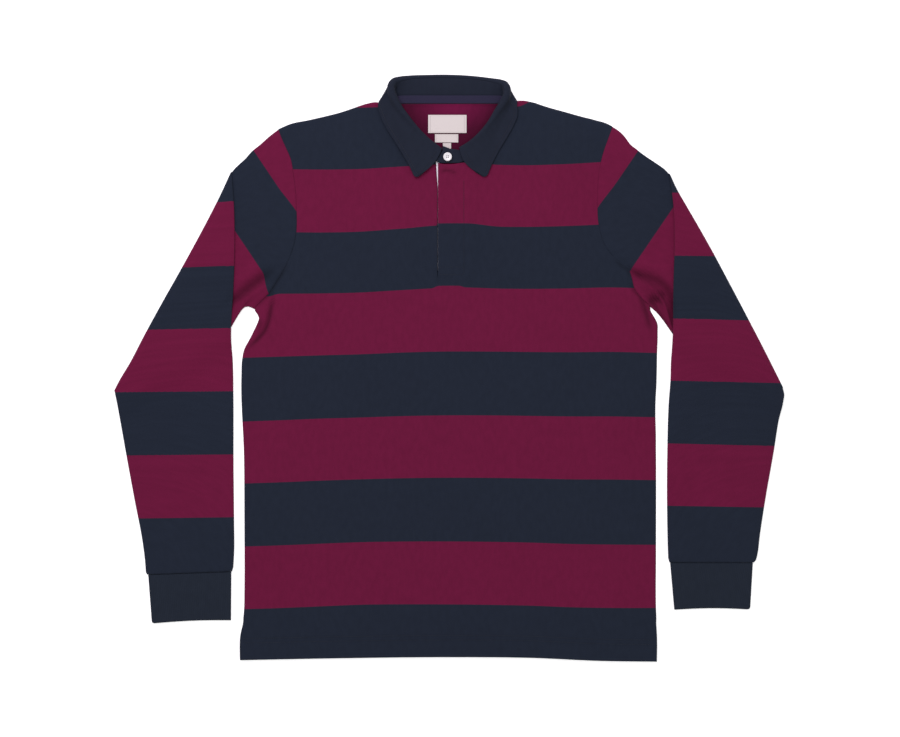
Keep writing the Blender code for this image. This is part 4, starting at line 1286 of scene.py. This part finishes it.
# %% Cuffs
CUFF_LENGTH, CUFF_SHARES = 63, (0.02, 0.975)
CUFF_ROUND, CUFF_BOW = 3.2, {"left": 1.5, "right": 1.8}
CUFF_DIPS = [(0.3, (0.0, 0.03)), (0.75, (1.0, 0.975))]  # depth, (where it is full, where none)
CUFF_SWELL, CUFF_SWELL_EDGE = 0.5, 0.12
CUFF_STEPS = np.concatenate([
    [0, 0.012, 0.03], np.linspace(0.06, 0.94, 20), [0.96, 0.975, 0.988, 0.996, 1],
])


def build_cuff(side):
    table = SLEEVES[side]
    seam_in, seam_out = (np.array(table[name][-1], float) for name in ("inner", "outer"))
    low_in, low_out = (np.array(spot, float) for spot in table["cuff_end"])
    length = np.linalg.norm(low_out - seam_out)
    rings = ([], [])
    for v in CUFF_STEPS:
        width = np.linalg.norm(lerp(seam_out, low_out, v) - lerp(seam_in, low_in, v))
        beyond = max(1 - (1 - v) * length / CUFF_ROUND, 0)
        kept = 1 - CUFF_ROUND * (1 - math.sqrt(1 - beyond**2)) / width
        dip = sum(depth * fade(v, *where) for depth, where in CUFF_DIPS)
        for inside, (u, z) in enumerate(tube_section(width)):
            top = lerp(seam_in, seam_out, lerp(*CUFF_SHARES, u[..., None])) - (0, SEAM_GAP)
            low = lerp(low_in, low_out, u[..., None])
            low[..., 1] += CUFF_BOW[side] * np.sin(math.pi * u)
            spot = lerp(top, low, v)
            spot = lerp(spot[:1], spot, kept)
            level = z / TUBE_HEIGHT
            between_folds = fade(np.minimum(u, 1 - u), CUFF_SWELL_EDGE, 0)
            swell = CUFF_SWELL * math.sin(math.pi * v) * between_folds
            points = np.column_stack([spot, level * (TUBE_HEIGHT + swell - dip * (level > 0.5))])
            around = np.arange(len(u)) / len(u) * 2 * width
            weave = np.column_stack([around * MM, np.full_like(u, v * CUFF_LENGTH * MM)])
            rings[inside].append((points, weave))
    return piece(f"{side}_cuff", ring_wall(*rings), RIB)


cuffs = {side: build_cuff(side) for side in SLEEVES}
for side, made in cuffs.items():
    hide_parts(f"cuff_{side}")
    print(made.name, len(made.data.polygons), "faces")

# %% [markdown]
# ## The collar
# A shirt collar is two pieces. The stand rises from the neck seam, and the leaf turns over it and
# falls to its outer edge: forward at the front, outward at the sides, and here under the back,
# where the shirt's own weight has folded it flat. A table holds one section for each turn of the
# collar, and curves between them give as many sections as the cloth needs.

# %% Collar table
COLLAR_COLUMNS = "roll_x roll_y roll_z seam_x seam_y edge_x edge_y edge_z radius turn"
COLLAR = [
    (-11.5, 290.5, 7.0, -12, 273.5, -46, 250.5, 5.6, 1.5, 0),
    (-27.5, 302.5, 7.6, -30, 280, -53.5, 268, 5.8, 1.8, 8),
    (-43.5, 317.5, 8.9, -47, 289, -65, 288, 5.8, 2.2, 20),
    (-57, 333, 10.2, -61, 302, -75, 304, 5.6, 3.0, 35),
    (-68, 347, 11.6, -72, 317, -85, 320, 5.4, 3.8, 52),
    (-75, 360, 12.6, -79, 333, -92.5, 336, 5.0, 4.3, 70),
    (-78, 370, 12.4, -82, 346, -95.5, 348.5, 4.7, 4.5, 88),
    (-77.5, 376, 11.2, -82.5, 351.5, -93.8, 355, 6.6, 4.4, 104),
    (-74, 381, 9.2, -79, 353.5, -87, 355, 0.92, 4.0, 125),
    (-66, 383.9, 7.0, -70, 354.8, -76, 346, 0.92, 3.4, 150),
    (-54, 386.0, 4.6, -56, 355, -62, 341.5, 0.92, 2.8, 170),
    (-30, 387.3, 3.5, -30, 355, -33, 340, 0.92, 2.5, 180),
    (0, 387.5, 3.5, 0, 355, 0, 340, 0.92, 2.5, 180),
    (30, 385.9, 3.5, 30, 355, 34, 340, 0.92, 2.5, 180),
    (55, 382.5, 4.6, 56, 355, 63, 341.5, 0.92, 2.8, 170),
    (66.4, 380, 7.0, 70, 354.8, 76, 346, 0.92, 3.4, 150),
    (72.8, 376.8, 9.2, 79, 353.5, 84, 355, 0.92, 4.0, 125),
    (75.6, 370.5, 11.2, 82, 352, 88.2, 356, 6.6, 4.4, 104),
    (75.3, 363, 12.4, 81.5, 346, 89.2, 348.5, 4.7, 4.5, 88),
    (70.3, 352, 12.6, 79, 333, 89.5, 336, 5.0, 4.3, 70),
    (62.6, 340.5, 11.6, 72, 317, 84, 322, 5.4, 3.8, 52),
    (54.2, 327.5, 10.6, 61, 302, 75, 306, 5.6, 3.0, 35),
    (42, 313, 10.0, 47, 289, 64.6, 289, 5.8, 2.4, 20),
    (27.2, 300, 9.4, 30, 280, 54.2, 268, 5.8, 2.0, 8),
    (13, 291.5, 8.4, 12, 273.5, 47.9, 250.8, 5.6, 1.6, 0),
]
COLLAR_STATIONS, RUN_STEP = 214, 0.01
SURFACE_GAP = 0.12
LEAF_ON_SURFACE = COLLAR_CLOTH / 2 + SURFACE_GAP
TIP_SHARE, TIP_STATIONS, TIP_RADIUS = 0.024, 12, 9.0
FRONT_BOW, BOW_REACH = (3.6, 5.4), 14
LEAF_STEPS, STAND_STEPS = 20, 12
ROLL_TURNS = np.radians(np.linspace(-90, 90, 15))
ROLL_LEAD, SECTION_LEAN = 1.2, 0.3
STAND_TURNS_BACK, LEAF_TURNS_UNDER = (104, 96), (118, 106)
UNDER_REACH, UNDER_HEIGHT, OVER_HEIGHT, UNDER_SLOPE = 4, 1.15, 9, 0.22
# The lapped ends: x, then y and z at the seam, then y and z at the top.
LEFT_TAB = [(12, 273.6, 2.9, 289.5, 4.8), (0, 273.4, 2.9, 289.6, 4.8)]
RIGHT_TAB = [(0, 273.3, 5.3, 292.2, 6.8), (-10, 273.7, 5.3, 295.8, 7.2)]
TAB_END_REACH, TAB_END_FROM, TAB_END_OVER = 6.4, 0.3, 0.5
BACK_NECK_Y = 354
PATCH_TOP, PATCH_GAP, PATCH_HALF_WIDTH, PATCH_DEPTH, PATCH_TIP = 352.4, 0.4, 72, 68, 2
PATCH_CLEARED = (1.04, 1.2)
print(len(COLLAR), "sections in the table, for", COLLAR_STATIONS + 2 * TIP_STATIONS, "in the cloth")


# %% Collar sections
def stand_floor(x, y):
    """The lowest that the middle of the stand may lie over the inside of the back."""
    clear = JERSEY / 2 + SEAM_GAP + COLLAR_CLOTH / 2
    from_centre = np.hypot(x / PATCH_HALF_WIDTH, (PATCH_TOP - y) / PATCH_DEPTH)
    patch_rise = (THIN_CLOTH + PATCH_GAP) * fade(from_centre, *PATCH_CLEARED)
    return np.where(y > BACK_NECK_Y, 0.0, back_middle(x, y) + clear + patch_rise)


def leaf_floor(x, y):
    """The lowest that the middle of the leaf may lie over the front."""
    clear = JERSEY / 2 + 2 * SEAM_GAP + COLLAR_CLOTH / 2
    return front_middle(x, y) + flap_lift(x, y) + clear


def collar_sections():
    """Sections of the collar along its roll, closer together at the leaf's two tips."""
    line = Curve(COLLAR)
    tip = np.linspace(0, TIP_SHARE, TIP_STATIONS, endpoint=False)
    middle = np.linspace(TIP_SHARE, 1 - TIP_SHARE, COLLAR_STATIONS)
    shares = np.concatenate([tip, middle, 1 - tip[::-1]])
    length = lengths(line(shares)[:, :2])[-1]
    sections = []
    for t in shares:
        row = dict(zip(COLLAR_COLUMNS.split(), line(t)))
        along = unit((line(min(t + RUN_STEP, 1)) - line(max(t - RUN_STEP, 0)))[:2])
        level = np.array([-along[1], along[0], 0.0])
        turn = math.radians(row["turn"])
        x, y = row["seam_x"], row["seam_y"]
        on_back = fade(row["turn"], *STAND_TURNS_BACK)
        seam_z = lerp(front_middle(x, y) + flap_lift(x, y), back_middle(x, y), on_back)
        up = np.array([0, 0, 1.0])
        from_end = min(t, 1 - t) * length
        rounding = 1 - math.sqrt(1 - max(1 - from_end / TIP_RADIUS, 0) ** 2)
        bow = FRONT_BOW[int(t > 0.5)] * float(fade(from_end, 0, BOW_REACH))
        sections.append({
            "cut": TIP_RADIUS * rounding,
            "bow": along * bow * math.copysign(1, t - 0.5),
            "roll": np.array([row["roll_x"], row["roll_y"], row["roll_z"]]),
            "seam": np.array([x, y, seam_z]),
            "edge": np.array([row["edge_x"], row["edge_y"], row["edge_z"]]),
            "radius": row["radius"],
            "down": math.cos(turn) * level - math.sin(turn) * up,
            "out": math.sin(turn) * level + math.cos(turn) * up,
            "turn": row["turn"],
            "on_front": row["turn"] < STAND_TURNS_BACK[1],
            "under": float(fade(row["turn"], *LEAF_TURNS_UNDER)),
        })
    return sections


def bend(start, leave, end, steps, cut=0.0):
    """Points on a curve that leaves start along leave and arrives level at end, or cut short."""
    reach = SECTION_LEAN * np.linalg.norm(end - start)
    far = end + unit((start - end) * (1, 1, 0)) * reach
    near = start + leave * reach
    t = np.linspace(0, 1 - cut / np.linalg.norm(end - start), steps + 1)[1:, None]
    s = 1 - t
    return s**3 * start + 3 * t * s**2 * near + 3 * t**2 * s * far + t**3 * end


def leaf_section(section):
    """The leaf's points: round the roll and down to its edge."""
    centre, radius = section["roll"], section["radius"]
    down, out = section["down"], section["out"]
    turns = ROLL_TURNS[:, None]
    roll = centre + radius * (np.sin(turns) * out - np.cos(turns) * down)
    fall = bend(roll[-1], down, section["edge"], LEAF_STEPS, section["cut"])
    shares = np.linspace(0, 1, LEAF_STEPS + 1)[1:, None]
    fall[:, :2] += section["bow"] * np.sin(math.pi * shares)
    x, y = fall[:, 0], fall[:, 1]
    floor = leaf_floor(x, y) if section["on_front"] else np.full_like(x, LEAF_ON_SURFACE)
    z = np.maximum(fall[:, 2], floor)
    beyond = np.maximum(y - section["seam"][1] - UNDER_REACH, 0)
    ceiling = lerp(OVER_HEIGHT, UNDER_HEIGHT, section["under"]) + beyond * UNDER_SLOPE
    fall[:, 2] = np.where(y < centre[1] - radius, np.minimum(z, ceiling), z)
    return np.vstack([centre - radius * out + ROLL_LEAD * down, roll, fall])


def stand_section(section):
    """The stand's points: from under the roll to the seam at the neck."""
    start = section["roll"] - section["radius"] * section["out"]
    start = start + (ROLL_LEAD + SEAM_GAP) * section["down"]
    points = np.vstack([start, bend(start, section["down"], section["seam"], STAND_STEPS)])
    points[:-1, 2] = np.maximum(points[:-1, 2], stand_floor(points[:-1, 0], points[:-1, 1]))
    return points


def tab_section(row, end_reach=0.0):
    """A section of a lapped end, from its top edge to the seam."""
    x, seam_y, seam_z, high_y, high_z = row
    share = np.linspace(0, 1, STAND_STEPS + 1)
    reach = end_reach * smooth((share - TAB_END_FROM) / TAB_END_OVER)
    return np.stack([x - reach, lerp(high_y, seam_y, share), lerp(high_z, seam_z, share)], axis=-1)


def between(start, end, count):
    """Sections between two, with the first and without the last."""
    return [lerp(start, end, k / count) for k in range(count)]


def section_weave(rows):
    """UVs in metres of rows of sections: along the collar, and down each section."""
    down = np.array([lengths(row) for row in rows])
    along = lengths(np.mean(rows, axis=1))
    return np.stack([np.broadcast_to(along[:, None], down.shape), down], axis=-1) * MM


def from_sections(rows):
    points, weave = np.array(rows), section_weave(rows)
    return sheet_mesh(points.transpose(1, 0, 2), weave.transpose(1, 0, 2))


print("a lapped end is", round(lengths(tab_section(RIGHT_TAB[0]))[-1], 1), "mm high")

# %% Leaf and stand
TAB_STATIONS = 8
SECTIONS = collar_sections()

leaf = piece("leaf", from_sections([leaf_section(s) for s in SECTIONS]), TWILL)
cloth_wall(leaf, COLLAR_CLOTH, rounding=0.3, even=False)
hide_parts("collar_leaf")

tabs_left = [tab_section(row) for row in LEFT_TAB]
tabs_right = [tab_section(RIGHT_TAB[0]), tab_section(RIGHT_TAB[1], TAB_END_REACH)]
rising = [stand_section(s) for s in SECTIONS]
stand_rows = (
    between(tabs_left[0], tabs_left[1], TAB_STATIONS)
    + between(tabs_left[1], rising[0], TAB_STATIONS)
    + rising
    + between(rising[-1], tabs_right[0], TAB_STATIONS)[1:]
    + between(tabs_right[0], tabs_right[1], TAB_STATIONS)
    + [tabs_right[1]]
)
stand = piece("stand", from_sections(stand_rows), TWILL)
cloth_wall(stand, COLLAR_CLOTH, rounding=0.2, even=False)
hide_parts("collar_stand")

# %% [markdown]
# ## Inside the neck
# A half-moon of jersey lines the back neck, the labels are sewn onto it, and a tape covers the
# seam between the collar and the back. The labels are bare: only the weave and a fine border.

# %% Neck patch, labels and tape
PATCH_ACROSS, PATCH_UP = 72, 36
LABELS = {  # name: (left, right, bottom, top)
    "main": (-29, 22, 313, 337),
    "second": (-20, 11, 300.5, 311.5),
    "size": (-9.5, 1.5, 290.4, 299.8),
}
LABEL_ACROSS, LABEL_UP, LABEL_CURL, LABEL_WAVE = 24, 12, 0.25, 0.12
TAPE_WIDTH, TAPE_HALF_LENGTH, TAPE_STEPS, TAPE_FOOT = 10.6, 75, 12, 2.7
# Painted shade on the half moon: where it is lightest, how far that reaches, and the distances where
# the shade starts and where it is full.
PATCH_LIT, PATCH_LIT_REACH, PATCH_LIT_ENDS = (5, 356), (62, 44), (0.2, 0.95)
PATCH_FACE = JERSEY / 2 + PATCH_GAP + THIN_CLOTH


def build_patch():
    """The half moon, with shade painted into its colour: light where the neck opens and darker
    further under the collar.
    """
    turn, row = share_grid(PATCH_ACROSS, PATCH_UP)
    across = -np.cos(turn * math.pi)
    deep = (PATCH_DEPTH - PATCH_TIP) * np.sqrt(np.maximum(1 - across**2, 0))
    x = PATCH_HALF_WIDTH * across
    y = lerp(PATCH_TOP - PATCH_TIP - deep, PATCH_TOP, row)
    z = back_middle(x, y) + PATCH_FACE - THIN_CLOTH / 2
    # Painted shade, kept as the mesh's 'fold' value.
    away = [(at - lit) / reach for at, lit, reach in zip((x, y), PATCH_LIT, PATCH_LIT_REACH)]
    shade = np.interp(np.hypot(*away), PATCH_LIT_ENDS, (0, 1))
    mesh = sheet_mesh(np.stack([x, y, z], axis=-1), np.stack([x * MM, y * MM, shade], axis=-1))
    return piece("patch", mesh, PATCH_JERSEY)


def build_label(name, box):
    left, right, bottom, top = box
    u, v = share_grid(LABEL_ACROSS, LABEL_UP)
    x, y = lerp(left, right, u), lerp(bottom, top, v)
    curl = LABEL_CURL * abs(2 * v - 1) ** 3 + LABEL_WAVE * np.sin(u * math.pi) ** 2
    z = back_middle(x, y) + PATCH_FACE + SEAM_GAP + LABEL_CLOTH / 2 + curl
    made = piece(f"{name}_label", sheet_mesh(np.stack([x, y, z], -1), np.stack([u, v], -1)),
                 LABEL_SATIN)
    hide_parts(f"label_{name}")
    return cloth_wall(made, LABEL_CLOTH, rounding=0.15)


def tape_row(section, across):
    """The tape's points: from the patch over the seam, and up the inner face of the stand."""
    lie = COLLAR_CLOTH / 2 + SEAM_GAP + THIN_CLOTH / 2
    rising = stand_section(section)[::-1]
    run = np.gradient(rising, axis=0)[:-1]
    inward = np.cross(across, run)
    inward /= np.linalg.norm(inward, axis=1)[:, None]
    line = rising[:-1] + inward * lie
    foot = line[0] + unit((line[0] - line[1]) * (1, 1, 0)) * TAPE_FOOT
    on_patch = PATCH_FACE + SEAM_GAP + THIN_CLOTH / 2
    line = np.vstack([foot, line])
    line[:, 2] = np.maximum(line[:, 2], back_middle(foot[0], foot[1]) + on_patch)
    wanted = np.linspace(0, TAPE_WIDTH, TAPE_STEPS + 1)
    return np.stack([np.interp(wanted, lengths(line), column) for column in line.T], axis=-1)


def build_tape():
    chosen = [s for s in SECTIONS if abs(s["seam"][0]) < TAPE_HALF_LENGTH and not s["on_front"]]
    rows = []
    for k, section in enumerate(chosen):
        before, after = chosen[max(k - 1, 0)], chosen[min(k + 1, len(chosen) - 1)]
        rows.append(tape_row(section, after["seam"] - before["seam"]))
    return piece("tape", from_sections(rows), TAPE)


patch = cloth_wall(build_patch(), THIN_CLOTH)
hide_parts("neck_patch")
labels = {name: build_label(name, box) for name, box in LABELS.items()}
tape = cloth_wall(build_tape(), THIN_CLOTH, rounding=0.25)
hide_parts("neck_tape")

# %% [markdown]
# ## The placket's facing
# Under the flap a strip of white twill is sewn to the other lip of the slit, and a sliver of it
# shows at the top of the opening.

# %% Facing
FACING_RIGHT, FACING_Y, FACING_PEAK, FACING_PEAK_X = 21, (130, 271), 4.6, (-14.8, -13.2)
FACING_MIDDLE, FACING_GAP = FRONT_MIDDLE - 0.15, 0.45
FACING_ACROSS, FACING_UP, FACING_SPREAD, FACING_PEAK_POWER = 30, 60, 1.5, 8


def build_facing():
    u, v = share_grid(FACING_ACROSS, FACING_UP)
    y = lerp(*FACING_Y, v)
    x = lerp(SLIT_X - lip_shift(y) + FACING_GAP, FACING_RIGHT, u**FACING_SPREAD)
    y = y + FACING_PEAK * fade(x, *FACING_PEAK_X) * v**FACING_PEAK_POWER
    points = np.stack([x, y, np.full_like(x, FACING_MIDDLE)], axis=-1)
    return piece("facing", sheet_mesh(points, points[..., :2] * MM), WHITE_TWILL)


facing = cloth_wall(build_facing(), THIN_CLOTH, rounding=0.2)
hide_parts("fly_facing")

# %% [markdown]
# ## Button
# The collar button is turned from one piece: a raised rim, a dished middle and four holes. A
# profile is spun round its axis, cutters take the holes out, and two bars of thread hold it.

# %% Button
BUTTON_PLACE, BUTTON_SEAT = (-3.2, 281.2), 7.7
BUTTON_DISH = 1.85
BUTTON_PROFILE = [  # radius, height
    (0.0, 0.0), (4.4, 0.0), (5.4, 0.4), (5.75, 1.2), (5.65, 2.0), (5.2, 2.5), (4.6, 2.6),
    (4.1, 2.35), (3.6, 2.0), (2.0, BUTTON_DISH), (0.0, BUTTON_DISH),
]
BUTTON_SPIN, BUTTON_SHARP = 56, math.radians(50)
HOLE_RADIUS, HOLE_REACH, HOLE_SIDES, HOLE_MIDDLE, HOLE_LENGTH = 0.7, 1.5, 16, 1.3, 8
PEARL = (0.74, 0.725, 0.73)


def gloss_button():
    finish = Finish("button", roughness=0.28, specular=0.5)
    finish.shader.inputs["Coat Weight"].default_value = 0.3
    finish.shader.inputs["Coat Roughness"].default_value = 0.15
    cloud = finish.noise(260, 3.0).ramp(0.3, 0.7)
    finish.colour(finish.mix(cloud, toned(PEARL, 0.93), PEARL))
    return finish.material


def build_button():
    mesh = bmesh.new()
    points = [mesh.verts.new((r * MM, 0, z * MM)) for r, z in BUTTON_PROFILE]
    edges = [mesh.edges.new(pair) for pair in zip(points, points[1:])]
    bmesh.ops.spin(mesh, geom=points + edges, cent=(0, 0, 0), axis=(0, 0, 1),
                   angle=math.tau, steps=BUTTON_SPIN, use_merge=True)
    bmesh.ops.remove_doubles(mesh, verts=mesh.verts, dist=MERGED * MM)
    bmesh.ops.recalc_face_normals(mesh, faces=mesh.faces)
    bmesh.ops.translate(mesh, verts=mesh.verts, vec=Vector((*BUTTON_PLACE, BUTTON_SEAT)) * MM)
    made = piece("button", mesh, gloss_button())
    made.data.shade_smooth()
    return made


def cut_holes(made):
    """Takes four posts out of the button and throws them away."""
    mesh = bmesh.new()
    middle = Vector((*BUTTON_PLACE, BUTTON_SEAT + HOLE_MIDDLE))
    for k in range(4):
        turn = math.tau * (k + 0.5) / 4
        spot = middle + HOLE_REACH * Vector((math.cos(turn), math.sin(turn), 0))
        bmesh.ops.create_cone(mesh, cap_ends=True, segments=HOLE_SIDES, radius1=HOLE_RADIUS * MM,
                              radius2=HOLE_RADIUS * MM, depth=HOLE_LENGTH * MM,
                              matrix=Matrix.Translation(spot * MM))
    cutter = object_from("cutter", mesh)
    cut = made.modifiers.new("holes", "BOOLEAN")
    cut.operation = "DIFFERENCE"
    cut.object = cutter
    evaluated = made.evaluated_get(bpy.context.evaluated_depsgraph_get())
    kept = bpy.data.meshes.new_from_object(evaluated)
    made.modifiers.clear()
    made.data = kept
    bpy.data.objects.remove(cutter)
    made.data.set_sharp_from_angle(angle=BUTTON_SHARP)


button = build_button()
cut_holes(button)
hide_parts("neck_button")
print("button", len(button.data.polygons), "faces")

# %% [markdown]
# ## Stitches
# Sewing is what makes cloth read as clothing. Each stitch is a short thread half sunk in the
# cloth: a small stretched ball, repeated along a path at a machine's pitch, joined into one mesh
# for each seam.

# %% Stitch maker
STITCH_PITCH, STITCH_SHARE, STITCH_RADIUS = 3.0, 0.76, 0.24
STITCH_SIDES, STITCH_RINGS = 6, 4
OVER_JERSEY, OVER_TWILL, PATH_SPOTS = 0.4, 0.3, 80


def stitch_line(mesh, points):
    """Stitches along a line of 3-D points in mm."""
    points = np.array(points, float)
    at = lengths(points)
    count = max(int(at[-1] / STITCH_PITCH), 1)
    for k in range(count):
        ends = (k + 0.5 + np.array([-0.5, 0.5]) * STITCH_SHARE) / count * at[-1]
        start, end = (Vector([np.interp(t, at, column) for column in points.T]) for t in ends)
        turn = (end - start).to_track_quat("X", "Z").to_matrix().to_4x4()
        size = Matrix.Diagonal(((end - start).length / 2, STITCH_RADIUS, STITCH_RADIUS, 1))
        place = Matrix.Scale(MM, 4) @ Matrix.Translation((start + end) / 2) @ turn @ size
        bmesh.ops.create_uvsphere(mesh, u_segments=STITCH_SIDES, v_segments=STITCH_RINGS, radius=1,
                                  matrix=place)


def sewing(name, lines, material):
    """One piece of many lines of stitches."""
    mesh = bmesh.new()
    for points in lines:
        stitch_line(mesh, points)
    for face in mesh.faces:
        face.smooth = True
    made = piece(name, mesh, material)
    print(name, len(made.data.polygons), "faces")
    return made


def on_front(path):
    """A path of (x, y) points laid on the top of the front's cloth."""
    x, y = Curve(path)(np.linspace(0, 1, PATH_SPOTS))[:, :2].T
    edge = np.where(x > SLIT_X, side_x("right", y), side_x("left", y))
    share = np.where(x > SLIT_X, 1, -1) * (x - SLIT_X) / (edge - SLIT_X)
    z = front_height(x, y, share) + JERSEY / 2 + STITCH_RADIUS * OVER_JERSEY
    return np.stack([x, y, z], axis=-1)


# %% Rows of stitches
HEM_ROWS, HEM_SEWN_SHARE = (23, 29), 0.985
BOX_STITCH_X, FLAP_STITCH_TOP = (-14, 17.5), 250
LEAF_MARGIN, LEAF_STITCH_TURN, LEAF_FRONT_LENGTH, LEAF_FRONT_SPOTS = 5.0, 88, 44, 16
THREAD_HALF, THREAD_SIDE = 1.9, 1.06


def leaf_spot(section, inset):
    """A spot on the leaf's upper face, inset from its edge."""
    fall = leaf_section(section)[::-1]
    spot = np.array([np.interp(inset, lengths(fall), column) for column in fall.T])
    return spot + (0, 0, COLLAR_CLOTH / 2 + STITCH_RADIUS * OVER_TWILL)


def leaf_lines(sections):
    """Topstitching on half of the leaf: up its front edge, and round its outer edge."""
    from_end = [np.linalg.norm(s["roll"] - sections[0]["roll"]) for s in sections]
    first = int(np.searchsorted(from_end, LEAF_MARGIN))
    outer = [leaf_spot(s, LEAF_MARGIN) for s in sections[first:] if s["turn"] < LEAF_STITCH_TURN]
    insets = np.linspace(LEAF_MARGIN, LEAF_FRONT_LENGTH, LEAF_FRONT_SPOTS)
    return [[leaf_spot(sections[first], inset) for inset in insets], outer]


hem_lines = [on_front([(x * HEM_SEWN_SHARE, y + rise) for x, y in HEM]) for rise in HEM_ROWS]
sewing("hem_stitches", hem_lines, NAVY_THREAD)
box_lines = [on_front([(x, y) for x in BOX_STITCH_X]) for y in BOX_STITCH_Y]
flap_line = on_front([(PLACKET_STITCH_X, y) for y in (FLAP_STITCH_TOP, BOX_STITCH_Y[1])])
sewing("placket_stitches", [flap_line, *box_lines], NAVY_THREAD)
both_halves = leaf_lines(SECTIONS) + leaf_lines(SECTIONS[::-1])
sewing("leaf_stitches", both_halves, NAVY_THREAD)
thread_middle = np.array([*BUTTON_PLACE, BUTTON_SEAT + BUTTON_DISH + STITCH_RADIUS])
thread_lines = [
    [thread_middle + (way * THREAD_HALF, side * THREAD_SIDE, 0) for way in (-1, 1)]
    for side in (-1, 1)
]
sewing("button_thread", thread_lines, WHITE_THREAD)

# %% [markdown]
# ## The end
# Every piece of the shirt is now built.

# %% The end
print("every piece is built")
